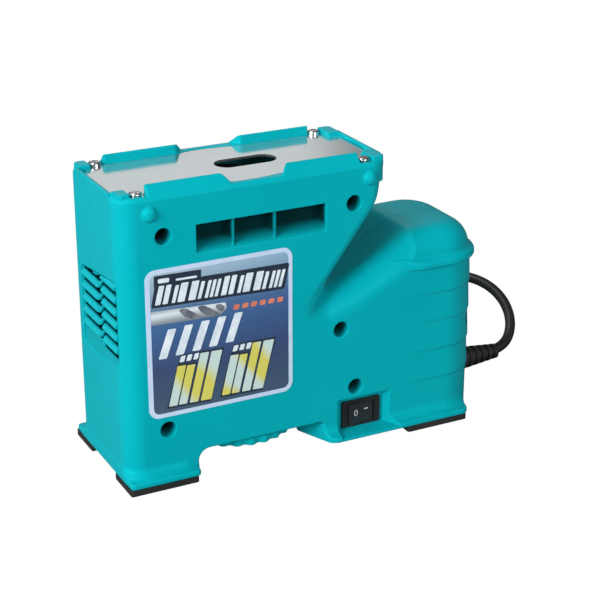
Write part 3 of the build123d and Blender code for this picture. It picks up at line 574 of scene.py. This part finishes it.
# ---- shader tools (lengths in metres) -------------------------------------------------
class Shader:
    """A node tree; every method but add, feed and shade returns an output socket."""

    def __init__(self, tree):
        self.tree = tree

    def feed(self, socket, value):
        """Link a socket, or set a plain value; colours are given as r, g, b."""
        if isinstance(value, bpy.types.NodeSocket):
            self.tree.links.new(value, socket)
        elif socket.type == "RGBA":
            socket.default_value = (*value, 1)
        else:
            socket.default_value = value

    def add(self, kind, *slots, settings=None, **named):
        """Add a node; slots fill its inputs in order, named values fill them by label."""
        node = self.tree.nodes.new("ShaderNode" + kind)
        for key, value in (settings or {}).items():
            setattr(node, key, value)
        for socket, value in zip(node.inputs, slots):
            self.feed(socket, value)
        self.set(node, **named)
        return node

    def set(self, node, **named):
        for label, value in named.items():
            self.feed(node.inputs[label.replace("_", " ")], value)

    def coords(self, scale=(1.0, 1.0, 1.0)):
        place = self.add("TexCoord").outputs["Object"]
        return self.add("Mapping", place, Scale=scale).outputs[0]

    def noise(self, vector, scale, detail=3.0, rough=0.55):
        node = self.add("TexNoise", Vector=vector, Scale=scale, Detail=detail, Roughness=rough)
        return node.outputs["Fac"]

    def ramp(self, factor, *stops):
        """Colour ramp; each stop is a position and a colour."""
        node = self.add("ValToRGB", factor)
        elements = node.color_ramp.elements
        while len(elements) < len(stops):
            elements.new(0.5)
        for element, (position, colour) in zip(elements, stops):
            element.position = position
            element.color = (*colour, 1)
        return node.outputs[0]

    def map_range(self, value, to, source=(0.0, 1.0)):
        return self.add("MapRange", Value=value, From_Min=source[0], From_Max=source[1],
                        To_Min=to[0], To_Max=to[1]).outputs[0]

    def fade(self, value, start, end):
        """0 at start, 1 at end."""
        return self.map_range(value, to=(0.0, 1.0), source=(start, end))

    def math(self, operation, first, second):
        return self.add("Math", first, second, settings={"operation": operation}).outputs[0]

    def vector_math(self, operation, first, second, output="Value"):
        node = self.add("VectorMath", first, second, settings={"operation": operation})
        return node.outputs[output]

    def mix(self, factor, first, second):
        node = self.add("Mix", factor, settings={"data_type": "RGBA"})
        self.feed(node.inputs[6], first)
        self.feed(node.inputs[7], second)
        return node.outputs[2]

    def bump(self, height, strength, distance):
        node = self.add("Bump", Height=height, Strength=strength, Distance=distance)
        return node.outputs[0]

    def within(self, axes, fades):
        """Product of fades, each an axis, a start and an end."""
        masks = [self.fade(axes[axis], start, end) for axis, start, end in fades]
        return reduce(lambda a, b: self.math("MULTIPLY", a, b), masks)

    def shade(self, mask, to, colour):
        """Blend the base colour to another; the mask's 0 and 1 give the two strengths."""
        base = self.surface.inputs["Base Color"].links[0].from_socket
        mixed = self.mix(self.map_range(mask, to=to), base, colour)
        self.set(self.surface, Base_Color=mixed)


def new_shader(name):
    material = bpy.data.materials.new(name)
    material.use_nodes = True
    material.node_tree.nodes.clear()
    shader = Shader(material.node_tree)
    shader.material = material
    shader.output = shader.add("OutputMaterial")
    shader.surface = shader.add("BsdfPrincipled")
    shader.feed(shader.output.inputs[0], shader.surface.outputs[0])
    return shader


def grain_finish(shader, broad, fine, rough, fine_swing, grain, depth):
    """Roughness from broad and fine noise, and a fine bump."""
    roughness = shader.math("ADD", shader.map_range(broad, to=rough),
                            shader.map_range(fine, to=(-fine_swing, fine_swing)))
    shader.set(shader.surface, Roughness=roughness, Normal=shader.bump(fine, grain, depth))


SHADERS = {}


def plastic(name, dark, light, rough, grain, coat=0.0, grain_scale=900, specular=0.5,
            tint=(1, 1, 1)):
    shader = SHADERS[name] = new_shader(name)
    vector = shader.coords()
    broad = shader.noise(vector, scale=14)
    fine = shader.noise(vector, scale=grain_scale, detail=4, rough=0.6)
    grain_finish(shader, broad, fine, rough=(rough - 0.04, rough + 0.05), fine_swing=0.03,
                 grain=grain, depth=0.00012)
    shader.set(shader.surface, Base_Color=shader.ramp(broad, (0.35, dark), (0.68, light)),
               Specular_IOR_Level=specular, Specular_Tint=tint,
               Coat_Weight=coat, Coat_Roughness=0.15)
    return shader


def metal(name, dark, light, rough, brushed=None, grain_scale=900, grain=0.08, metallic=1.0):
    """Metal; brushed stretches the fine grain by its scale on each axis."""
    shader = SHADERS[name] = new_shader(name)
    vector = shader.coords()
    fine_vector = shader.coords(brushed) if brushed else vector
    fine = shader.noise(fine_vector, scale=grain_scale, detail=4, rough=0.6)
    broad = shader.noise(vector, scale=40)
    grain_finish(shader, broad, fine, rough=(rough - 0.05, rough + 0.05), fine_swing=0.05,
                 grain=grain, depth=0.0001)
    shader.set(shader.surface, Base_Color=shader.ramp(broad, (0.3, dark), (0.7, light)),
               Metallic=metallic)


def teal(name):
    return plastic(name, (0.0012, 0.375, 0.432), (0.0020, 0.400, 0.458), rough=0.33,
                   grain=0.05, specular=0.15, tint=(0.06, 0.85, 1.0))


def recess_and_hole_shade(shader):
    """Painted shade in the dust recess and in the case screws' counterbores: the base colour is
    darkened there.
    """
    axes = shader.add("SeparateXYZ", shader.coords()).outputs
    recess = shader.within(axes, [
        ("Y", -0.0407, -0.0372), ("Z", 0.1452, 0.1515), ("X", -0.0700, -0.0685),
        ("X", 0.0175, 0.0160), ("Z", 0.1650, 0.1640), ("Y", -0.0270, -0.0280)])
    distances = []
    for x, z in CASE_SCREWS:
        flat = shader.add("CombineXYZ", X=axes["X"], Z=axes["Z"]).outputs[0]
        distances.append(shader.vector_math("DISTANCE", flat, metres((x, 0, z))))
    nearest = reduce(lambda a, b: shader.math("MINIMUM", a, b), distances)
    holes = shader.math("MULTIPLY", shader.fade(nearest, 0.0056, 0.0053),
                        shader.fade(axes["Y"], -0.0398, -0.0270))
    shade_mask = shader.math("MAXIMUM", recess, holes)
    # painted shade: the base colour turns near black in the recess and the counterbores
    shader.shade(shade_mask, to=(0.0, 0.965), colour=(0.0015, 0.012, 0.012))


def outlet_shade(shader):
    """Shade inside the round outlet hole of the motor housing."""
    axis = (0.7771, -0.6293, 0.0)
    offset = shader.vector_math("SUBTRACT", shader.coords(), metres(OUTLET), output="Vector")
    along = shader.vector_math("DOT_PRODUCT", offset, axis)
    square = shader.vector_math("DOT_PRODUCT", offset, offset)
    across = shader.math("SUBTRACT", square, shader.math("MULTIPLY", along, along))
    away = shader.math("SQRT", shader.math("MAXIMUM", across, 0.0), 0.0)
    mask = shader.math("MULTIPLY", shader.fade(away, 0.0054, 0.0047),
                       shader.fade(along, 0.0006, -0.0006))
    mask = shader.math("MULTIPLY", mask, shader.fade(along, -0.012, -0.011))
    shader.shade(mask, to=(0.0, 0.95), colour=(0.0004, 0.020, 0.024))


def vent_shade(shader):
    """Painted shade in the depth of the louvres: the base colour is darkened there."""
    axes = shader.add("SeparateXYZ", shader.coords()).outputs
    mask = shader.within(axes, [
        ("X", -0.1172, -0.1136), ("X", -0.1070, -0.1078), ("Y", -0.0335, -0.0325),
        ("Y", 0.0255, 0.0250), ("Z", 0.0730, 0.0745), ("Z", 0.1345, 0.1330)])
    shader.shade(mask, to=(0.0, 0.55), colour=(0.0008, 0.130, 0.155))


def laminated_iron():
    """Fine horizontal sheets."""
    shader = SHADERS["laminated_iron"] = new_shader("laminated_iron")
    wave = shader.add("TexWave", settings={"bands_direction": "Z"}, Vector=shader.coords(),
                      Scale=320, Distortion=0.3).outputs["Fac"]
    colour = shader.ramp(wave, (0.3, (0.16, 0.16, 0.17)), (0.7, (0.38, 0.38, 0.39)))
    shader.set(shader.surface, Base_Color=colour, Metallic=0.9, Roughness=0.45,
               Normal=shader.bump(wave, strength=0.5, distance=0.0002))


teal("teal_plastic")
metal("plate_steel", (0.66, 0.72, 0.73), (0.72, 0.78, 0.79), rough=0.13,
      brushed=(0.12, 3.0, 1.0), grain=0.04, metallic=0.92)
TEAL_FRONT = teal("teal_front_plastic")
# painted shade in the dust recess and in the screw counterbores
recess_and_hole_shade(TEAL_FRONT)
outlet_shade(TEAL_FRONT)
TEAL_REAR = teal("teal_rear_plastic")
# painted shade in the louvres of both halves
vent_shade(TEAL_FRONT)
vent_shade(TEAL_REAR)
metal("screw_zinc", (0.62, 0.62, 0.63), (0.78, 0.78, 0.78), rough=0.22)
plastic("black_rubber", (0.012, 0.012, 0.013), (0.022, 0.022, 0.023), rough=0.62, grain=0.25)
plastic("cord_pvc", (0.010, 0.010, 0.011), (0.018, 0.018, 0.019), rough=0.42, grain=0.12)
plastic("black_plastic", (0.010, 0.010, 0.011), (0.016, 0.016, 0.017), rough=0.36, grain=0.14)
plastic("rocker_plastic", (0.016, 0.017, 0.019), (0.026, 0.027, 0.03), rough=0.30, grain=0.10)
plastic("white_plastic", (0.75, 0.75, 0.72), (0.82, 0.82, 0.79), rough=0.4, grain=0.08)
plastic("mark_paint", (0.52, 0.54, 0.55), (0.62, 0.64, 0.65), rough=0.45, grain=0.05)
metal("brass_metal", (0.70, 0.50, 0.20), (0.80, 0.60, 0.28), rough=0.3)
metal("copper_wire", (0.55, 0.22, 0.09), (0.72, 0.33, 0.15), rough=0.35,
      grain_scale=1800, grain=0.4)
metal("cast_alloy", (0.50, 0.51, 0.53), (0.62, 0.63, 0.65), rough=0.42,
      grain_scale=540, grain=0.3)
metal("ground_steel", (0.55, 0.55, 0.57), (0.66, 0.66, 0.67), rough=0.22, brushed=(1, 1, 6))
metal("bearing_steel", (0.62, 0.62, 0.64), (0.72, 0.72, 0.73), rough=0.16)
plastic("diamond_grit", (0.025, 0.026, 0.028), (0.06, 0.062, 0.065), rough=0.6, grain=0.9,
        grain_scale=1600)
# very dark alloy for the wheel hub and nut, far darker than the cast alloy
metal("dark_alloy", (0.05, 0.052, 0.055), (0.12, 0.122, 0.125), rough=0.55,
      grain_scale=540, grain=0.3)
plastic("carbon_brush", (0.02, 0.02, 0.02), (0.035, 0.035, 0.035), rough=0.6, grain=0.2)
plastic("belt_rubber", (0.014, 0.014, 0.014), (0.024, 0.024, 0.024), rough=0.7, grain=0.5,
        grain_scale=1500)
plastic("blue_dip", (0.02, 0.07, 0.22), (0.03, 0.09, 0.28), rough=0.28, grain=0.05, coat=0.3)
plastic("wire_pvc", (0.42, 0.42, 0.40), (0.52, 0.52, 0.50), rough=0.42, grain=0.05)
laminated_iron()

# Material, then the CAD pieces that wear it
PIECES = {
    "teal_plastic": "height_knob front_shell rear_shell",
    "plate_steel": "guide_plate",
    "screw_zinc": "plate_screws case_screws corner_screw motor_bolts clamp_screws",
    "black_rubber": "rubber_feet cord_boot",
    "black_plastic": "switch_body",
    "rocker_plastic": "switch_rocker",
    "brass_metal": "switch_terminals adjuster_bush brush_holders plug_pins",
    "bearing_steel": "thrust_ball spindle_bottom_bearing spindle_top_bearing"
                     " motor_bottom_bearing motor_top_bearing",
    "ground_steel": "grinding_spindle spindle_quill motor_shaft",
    "cast_alloy": "spindle_bracket spindle_pulley motor_pulley"
                  " motor_bottom_bracket motor_top_bracket",
    "dark_alloy": "wheel_hub wheel_nut",
    "diamond_grit": "diamond_rim",
    "white_plastic": "cooling_fan cord_clamp face_label",
    "laminated_iron": "armature_core motor_stator",
    "copper_wire": "armature_windings commutator field_coils",
    "carbon_brush": "carbon_brushes",
    "belt_rubber": "drive_belt",
    "cord_pvc": "power_cord plug_body",
    "blue_dip": "capacitor",
    "wire_pvc": "lead_wires",
}
for material_name, pieces in PIECES.items():
    for piece_name in pieces.split():
        slots = NODES[piece_name].data.materials
        slots.clear()
        slots.append(SHADERS[material_name].material)

# Edge rounding of CAD pieces (mm)
for piece_name, width in (("plug_pins", 0.25), ("rubber_feet", 0.25), ("height_knob", 0.35),
                          ("guide_plate", 0.12)):
    bevel = NODES[piece_name].modifiers.new("soft_edges", "BEVEL")
    bevel.width = width / 1000.0
    bevel.segments = 2
    bevel.limit_method = "ANGLE"
    bevel.angle_limit = math.radians(35)
    bevel.harden_normals = False

# The knob's lobes are melted together
remesh = NODES["height_knob"].modifiers.new("round_lobes", "REMESH")
remesh.mode = "VOXEL"
remesh.voxel_size = 0.00075
remesh.use_smooth_shade = True
smooth = NODES["height_knob"].modifiers.new("moulded", "SMOOTH")
smooth.factor = 0.5
smooth.iterations = 9

case_half("front_case", front_field, (-50.0, 10.6), TEAL_FRONT, "front_shell")
case_half("rear_case", rear_field, (-1.5, 50.0), TEAL_REAR, "rear_shell")


# ---- flat outlines (mm) ---------------------------------------------------------------
def round_corners(points, radius):
    """Closed outline with each corner replaced by a curve of five points."""
    outline = []
    for i, point in enumerate(points):
        before, corner = Vector(points[i - 1]), Vector(point)
        after = Vector(points[(i + 1) % len(points)])
        back, ahead = before - corner, after - corner
        trim = min(radius, back.length * 0.48, ahead.length * 0.48)
        start = corner + back.normalized() * trim
        end = corner + ahead.normalized() * trim
        for k in range(5):
            u = k / 4
            curve = (1 - u) ** 2 * start + 2 * u * (1 - u) * corner + u * u * end
            outline.append(tuple(curve))
    return outline


def rectangle(x0, x1, z0, z1, radius, steps):
    """Rectangle with round corners of the given number of steps."""
    outline = []
    for x, z, first in ((x1 - radius, z1 - radius, 0), (x0 + radius, z1 - radius, 90),
                        (x0 + radius, z0 + radius, 180), (x1 - radius, z0 + radius, 270)):
        for k in range(steps + 1):
            angle = math.radians(first + 90.0 * k / steps)
            outline.append((x + radius * math.cos(angle), z + radius * math.sin(angle)))
    return outline


def slanted(x, z, width, height, lean, tilt=0.0):
    """Bar with its foot at x, z, leaning right by lean, its ends tilted."""
    rise = width * tilt
    return [(x, z), (x + width, z + rise), (x + width + lean, z + height + rise),
            (x + lean, z + height)]


def grow(points, margin):
    mid_x = sum(x for x, z in points) / len(points)
    mid_z = sum(z for x, z in points) / len(points)
    half_x = max(abs(x - mid_x) for x, z in points)
    half_z = max(abs(z - mid_z) for x, z in points)
    return [(mid_x + (x - mid_x) * (half_x + margin) / half_x,
             mid_z + (z - mid_z) * (half_z + margin) / half_z) for x, z in points]


def solid(name, points, faces, shader, body):
    mesh = bpy.data.meshes.new(name)
    mesh.from_pydata(points, [], faces)
    work = bmesh.new()
    work.from_mesh(mesh)
    bmesh.ops.recalc_face_normals(work, faces=work.faces)
    work.to_mesh(mesh)
    work.free()
    thing = link_object(name, mesh)
    mesh.materials.append(shader.material)
    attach(thing, body)
    return thing


def flat_plates(name, outlines, back, front, shader, edge, body="housing",
                place=metres):
    """x-z outlines extruded from y = back to front, the front edge chamfered by edge.

    Each next outline stands 0.004 mm further out, so that overlaps don't coincide.
    """
    points, faces = [], []
    for order, outline in enumerate(outlines):
        face_y = front - 0.004 * order
        count = len(outline)
        area = sum(outline[i - 1][0] * outline[i][1] - outline[i][0] * outline[i - 1][1]
                   for i in range(count))
        if area < 0:
            outline = outline[::-1]
        inner = []
        for i in range(count):
            before, here = Vector(outline[i - 1]), Vector(outline[i])
            tangent = (Vector(outline[(i + 1) % count]) - before).normalized()
            inner.append((here[0] - tangent[1] * edge, here[1] + tangent[0] * edge))
        base = len(points)
        for ring, y in ((outline, back), (outline, face_y + edge), (inner, face_y)):
            points += [(x, y, z) for x, z in ring]
        for i in range(count):
            j = (i + 1) % count
            for ring in (base, base + count):
                faces.append((ring + i, ring + j, ring + count + j, ring + count + i))
        faces.append([base + 2 * count + i for i in range(count)])
        faces.append([base + i for i in range(count)][::-1])
    return solid(name, [place(point) for point in points], faces, shader, body)


# ---- label inks -----------------------------------------------------------------------
def srgb(*levels):
    """0-255 sRGB levels to a linear colour, lifted by 1 / 0.93 and kept below 0.98."""
    def linear(level):
        share = level / 255
        return (share / 12.92 if share <= 0.04045 else ((share + 0.055) / 1.055) ** 2.4) / 0.93
    return tuple(min(linear(level), 0.98) for level in levels)


def ink(name, colour, rough=0.3):
    """Printed ink; colour is called with the shader and its coordinates."""
    shader = new_shader(name)
    vector = shader.coords()
    roughness = shader.map_range(shader.noise(vector, scale=60, detail=2),
                                 to=(rough - 0.04, rough + 0.06))
    shader.set(shader.surface, Base_Color=colour(shader, vector), Roughness=roughness,
               Specular_IOR_Level=0.25)
    return shader


def speckle(dark, light):
    return lambda shader, vector: shader.ramp(
        shader.noise(vector, scale=160), (0.35, dark), (0.65, light))


def across_and_up(shader, vector, want_across=True):
    """Place on the label, 0 to 1 from left to right and from bottom to top."""
    axes = shader.add("SeparateXYZ", vector).outputs
    up = shader.fade(axes["Z"], 0.045, 0.140)
    if not want_across:
        return None, up
    return shader.fade(axes["X"], (16 + BODY_X) / 1000, (111 + BODY_X) / 1000), up


def panel_colour(shader, vector):
    across, up = across_and_up(shader, vector)
    left = shader.ramp(
        up, (0.0, srgb(80, 101, 120)), (0.14, srgb(70, 92, 118)), (0.34, srgb(64, 84, 124)),
        (0.60, srgb(70, 112, 165)), (0.72, srgb(88, 124, 165)), (0.80, srgb(140, 172, 200)),
        (0.96, srgb(180, 206, 219)))
    right = shader.ramp(
        up, (0.0, srgb(74, 96, 120)), (0.14, srgb(66, 90, 118)), (0.34, srgb(62, 80, 120)),
        (0.56, srgb(62, 95, 145)), (0.70, srgb(72, 108, 158)), (0.78, srgb(92, 132, 175)),
        (0.96, srgb(150, 186, 215)))
    wobble = shader.map_range(shader.noise(vector, scale=40, detail=2), to=(-0.06, 0.06))
    return shader.mix(shader.math("ADD", across, wobble), left, right)


def gold_colour(shader, vector):
    wave = shader.add("TexWave", settings={"bands_direction": "DIAGONAL"}, Vector=vector,
                      Scale=13, Distortion=2.0, Detail=2.0, Detail_Scale=2.0)
    return shader.ramp(wave.outputs["Fac"], (0.25, srgb(205, 200, 95)),
                       (0.8, srgb(190, 212, 208)))


def drill_colour(shader, vector):
    _, up = across_and_up(shader, vector, want_across=False)
    return shader.ramp(shader.fade(up, 0.62, 0.745), (0.0, srgb(92, 104, 118)),
                       (0.3, srgb(150, 160, 168)), (0.62, srgb(214, 226, 232)),
                       (1.0, srgb(120, 132, 145)))


BORDER = ink("label_border_print", speckle(srgb(184, 204, 230), srgb(192, 211, 236)), rough=0.26)
PANEL = ink("label_panel_print", panel_colour, rough=0.26)
# an even fifth of dark blue over the whole panel
PANEL.shade(PANEL.coords(), to=(0.2, 0.2), colour=(0.004, 0.008, 0.03))
WHITE = ink("label_white_print", speckle(srgb(200, 215, 226), srgb(222, 232, 240)))
DARK = ink("label_dark_print", speckle(srgb(34, 44, 60), srgb(44, 54, 70)))
GOLD = ink("label_gold_print", gold_colour)
ORANGE = ink("label_orange_print", speckle(srgb(196, 110, 92), srgb(212, 128, 104)))
DRILL = ink("label_drill_print", drill_colour)
FLUTE = ink("label_flute_print", speckle(srgb(90, 96, 106), srgb(126, 130, 136)))

# ---- label shapes (x, z in mm) --------------------------------------------------------
FACE_Y = -HALF_WIDTH
border = flat_plates("label_border", [rectangle(15.9, 111.2, 45.1, 139.9, 6.5, 10)],
                     FACE_Y + 0.1, FACE_Y - 0.34, BORDER, edge=0.08)
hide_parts("face_label")
flat_plates("label_panel", [rectangle(18.8, 108.4, 47.9, 137.2, 4.0, 8)],
            FACE_Y - 0.30, FACE_Y - 0.40, PANEL, edge=0.03)

# small strip and broad banner at the top, with two white patches on the strip
STRIP = [(21.4, 129.0), (51.2, 128.3), (51.4, 135.6), (21.6, 136.3)]
BANNER = [(19.2, 116.6), (105.8, 113.6), (109.0, 129.0), (108.0, 130.0), (22.2, 131.6)]
dark = [round_corners(STRIP, 0.5), round_corners(BANNER, 1.6)]
white = [
    round_corners([(35.2, 131.3), (48.6, 131.0), (48.7, 132.3), (35.3, 132.6)], 0.5),
    round_corners([(24.0, 131.5), (31.0, 131.35), (31.1, 134.0), (24.1, 134.15)], 0.9),
]
gold = []
# groups of bars along the banner: offset and width of each bar
BANNER_GROUPS = (
    ((0.0, 3.4), (4.8, 3.2)),
    ((0.0, 2.2), (3.6, 4.6)),
    ((0.0, 4.6), (6.0, 2.2)),
    ((0.0, 2.0), (3.2, 2.0), (6.4, 2.0)),
)
for i in range(8):
    group_x, group_z = 21.6 + i * 10.5, 118.2 - i * 0.33
    for offset, width in BANNER_GROUPS[i % 4]:
        height = 11.6 - (0.9 if width < 3 else 0)
        bar = slanted(group_x + offset, group_z - offset * 0.03, width, height,
                      lean=3.0, tilt=-0.03)
        white.append(round_corners(bar, 0.5))
# a row of equal leaning bars, then two groups of small ticks
for i in range(5):
    bar = slanted(22.8 + 10.8 * i, 83.6 + 0.6 * i, 5.2, 18.0, lean=6.6, tilt=-0.02)
    white.append(round_corners(bar, 0.8))
for x in (36.0, 40.4, 44.8, 70.6, 75.0, 79.4):
    tick = slanted(x, 79.2, 2.9, 3.8, lean=1.2)
    dark.append(round_corners(grow(tick, 0.8), 0.5))
    white.append(round_corners(tick, 0.6))
# two big blocks of leaning bars: offset, width, foot z, height, lean
BLOCK_BARS = (
    (0.0, 5.4, 51.8, 25.2, 6.4),
    (6.4, 5.2, 51.7, 24.6, 6.2),
    (13.4, 5.6, 51.5, 31.0, 7.9),
    (20.6, 7.0, 51.3, 31.0, 7.9),
)
for block_x in (28.4, 63.0):
    for offset, width, foot_z, height, lean in BLOCK_BARS:
        bar = slanted(block_x + offset, foot_z, width, height, lean, tilt=-0.03)
        gold.append(round_corners(bar, 0.6))
        dark.append(round_corners(grow(bar, 1.3), 0.8))
dashes = [round_corners(slanted(71.4 + 5.8 * i, 106.2 - 0.1 * i, 3.9, 3.2, lean=0.8, tilt=-0.04),
                        1.0) for i in range(6)]
DRILL_BODY = [(18.9, 105.9), (36.5, 105.0), (63.0, 104.3), (67.4, 108.3), (66.6, 112.0),
              (37.0, 113.6), (18.9, 114.5)]
# a flute's corners: x, z and the drop per mm of shift to the right
FLUTE_CORNERS = [(36.0, 112.9, 0.03), (40.6, 113.2, 0.03), (47.4, 108.6, 0.03),
                 (51.4, 105.0, 0.02), (46.0, 105.0, 0.02), (40.0, 107.6, 0.03)]
FLUTE_TIP = [(59.6, 111.6), (63.6, 111.7), (66.4, 109.0), (64.6, 106.4), (61.4, 108.0)]
flutes = [round_corners([(x + shift, z - shift * drop) for x, z, drop in FLUTE_CORNERS], 2.2)
          for shift in (0.0, 12.0)]
flutes.append(round_corners(FLUTE_TIP, 1.6))

# name, outlines, depths of back and front in front of the face, ink
for name, outlines, back, front, shader in (
        ("label_dark_shapes", dark, 0.38, 0.45, DARK),
        ("label_white_shapes", white, 0.42, 0.60, WHITE),
        ("label_gold_bars", gold, 0.42, 0.60, GOLD),
        ("label_orange_marks", dashes, 0.38, 0.47, ORANGE),
        ("label_drill_shape", [round_corners(DRILL_BODY, 1.0)], 0.38, 0.47, DRILL),
        ("label_drill_flutes", flutes, 0.45, 0.56, FLUTE)):
    flat_plates(name, outlines, FACE_Y - back, FACE_Y - front, shader, edge=0.02)

# ---- marks on the two faces of the rocker ---------------------------------------------
ROCKER_X, ROCKER_Z = 162.1, 17.0


def on_face(x0, y0, x1, y1):
    """Placing on a rocker face; its points are (along the face, depth into it, z)."""
    dx, dy = x1 - x0, y1 - y0
    length = math.hypot(dx, dy)
    dx, dy = dx / length, dy / length

    def place(point):
        along, depth, z = point
        x = ROCKER_X + x0 + dx * along - dy * depth
        return metres((x, y0 + dy * along + dx * depth, ROCKER_Z + z))
    return place


def ring_mark(place):
    # section of the ring: radius factor, depth
    section = ((1.15, 0.05), (1.15, -0.10), (1.02, -0.14), (0.90, -0.14), (0.78, -0.10),
               (0.78, 0.05))
    steps, sides = 28, len(section)
    points, faces = [], []
    for k in range(steps):
        angle = 2 * math.pi * k / steps
        for factor, depth in section:
            z = (0.8 + factor * 1.75 * math.sin(angle) + (1 - factor) * 0.2 * math.sin(angle))
            points.append(place((4.1 + factor * 1.3 * math.cos(angle), depth, z)))
        here, after = k * sides, (k + 1) % steps * sides
        for j in range(sides):
            following = (j + 1) % sides
            faces.append((here + j, after + j, after + following, here + following))
    solid("rocker_ring_mark", points, faces, SHADERS["mark_paint"], "rocker")


ring_mark(on_face(-8.3, -39.3, 0.0, -37.6))
BAR_MARK = [(2.2, 1.55), (5.3, 1.55), (5.3, 2.25), (2.2, 2.25)]
flat_plates("rocker_bar_mark", [round_corners(BAR_MARK, 0.3)], 0.05, -0.14,
            SHADERS["mark_paint"], edge=0.04, body="rocker",
            place=on_face(0.0, -37.6, 8.8, -36.7))


# ---- studio (metres) ------------------------------------------------------------------
def studio_floor():
    """Floor that looks white to the camera, dark in reflections and grey to other light."""
    grid = bmesh.new()
    bmesh.ops.create_grid(grid, x_segments=2, y_segments=2, size=6.0)
    mesh = bpy.data.meshes.new("studio_floor")
    grid.to_mesh(mesh)
    grid.free()
    floor = link_object("studio_floor", mesh)
    floor.location = (0, 0, -0.00005)
    shader = new_shader("studio_white")
    broad = shader.noise(shader.coords(), scale=3, detail=2)
    grey = shader.ramp(broad, (0.3, (0.38, 0.38, 0.38)), (0.7, (0.41, 0.41, 0.41)))
    shader.set(shader.surface, Base_Color=grey, Roughness=0.9, Specular_IOR_Level=0.1)
    rays = shader.add("LightPath").outputs
    white_light = shader.add("Emission").outputs[0]
    seen = shader.add("MixShader", rays["Is Camera Ray"], shader.surface.outputs[0],
                      white_light).outputs[0]
    reflected = shader.add("BsdfDiffuse", Color=(0.10, 0.10, 0.10)).outputs[0]
    final = shader.add("MixShader", rays["Is Glossy Ray"], seen, reflected).outputs[0]
    shader.feed(shader.output.inputs[0], final)
    mesh.materials.append(shader.material)


def studio_world():
    """White to the camera; its light comes from the left (-x) and from the rear right."""
    world = bpy.data.worlds.new("studio_world")
    bpy.context.scene.world = world
    world.use_nodes = True
    sky = Shader(world.node_tree)
    direction = sky.add("TexCoord").outputs["Generated"]
    axes = sky.add("SeparateXYZ", direction).outputs
    left = sky.map_range(axes["X"], to=(0.84, 0.09), source=(-0.95, 0.0))
    rear = sky.math("MULTIPLY", sky.map_range(axes["Y"], to=(0.0, 0.74), source=(0.35, 0.75)),
                    sky.fade(axes["X"], 0.22, 0.30))
    rear = sky.math("MULTIPLY", rear,
                    sky.map_range(axes["X"], to=(1.0, 0.2), source=(0.44, 0.475)))
    ambient = sky.math("MAXIMUM", left, rear)
    strength = sky.add("Mix", sky.add("LightPath").outputs["Is Camera Ray"])
    sky.feed(strength.inputs[2], ambient)
    sky.feed(strength.inputs[3], 1.0)
    sky.set(world.node_tree.nodes["Background"], Color=(1, 1, 1), Strength=strength.outputs[0])


def area_light(name, place, size, power, target=(0, 0, 0.08)):
    data = bpy.data.lights.new(name, "AREA")
    data.shape = "RECTANGLE"
    data.size = size
    data.size_y = size
    data.energy = power
    light = link_object(name, data)
    light.location = place
    aim = Vector(target) - Vector(place)
    light.rotation_euler = aim.to_track_quat("-Z", "Y").to_euler()
    return light


def photo_camera():
    data = bpy.data.cameras.new("photo_camera")
    camera = link_object("photo_camera", data)
    camera.location = metres((-305.8, -866.3, 479.5))
    tilt_down, turn = 22.04, -27.09
    camera.rotation_euler = (math.radians(90 - tilt_down), 0, math.radians(turn))
    data.sensor_width = 36
    data.lens = 98.754
    data.clip_start = 0.01
    bpy.context.scene.camera = camera


studio_floor()
studio_world()
area_light("key_left", (-1.52, -0.66, 0.72), size=0.7, power=23.5)
area_light("fill_front", (0.30, -1.58, 0.78), size=0.8, power=12.2)
area_light("fill_back", (0.9, 1.2, 0.5), size=0.9, power=3).visible_glossy = False
area_light("top_left", (-0.50, 0.16, 1.35), size=0.42, power=5.4, target=(0.02, 0, 0.12))
photo_camera()
bpy.context.scene.view_settings.view_transform = "Standard"

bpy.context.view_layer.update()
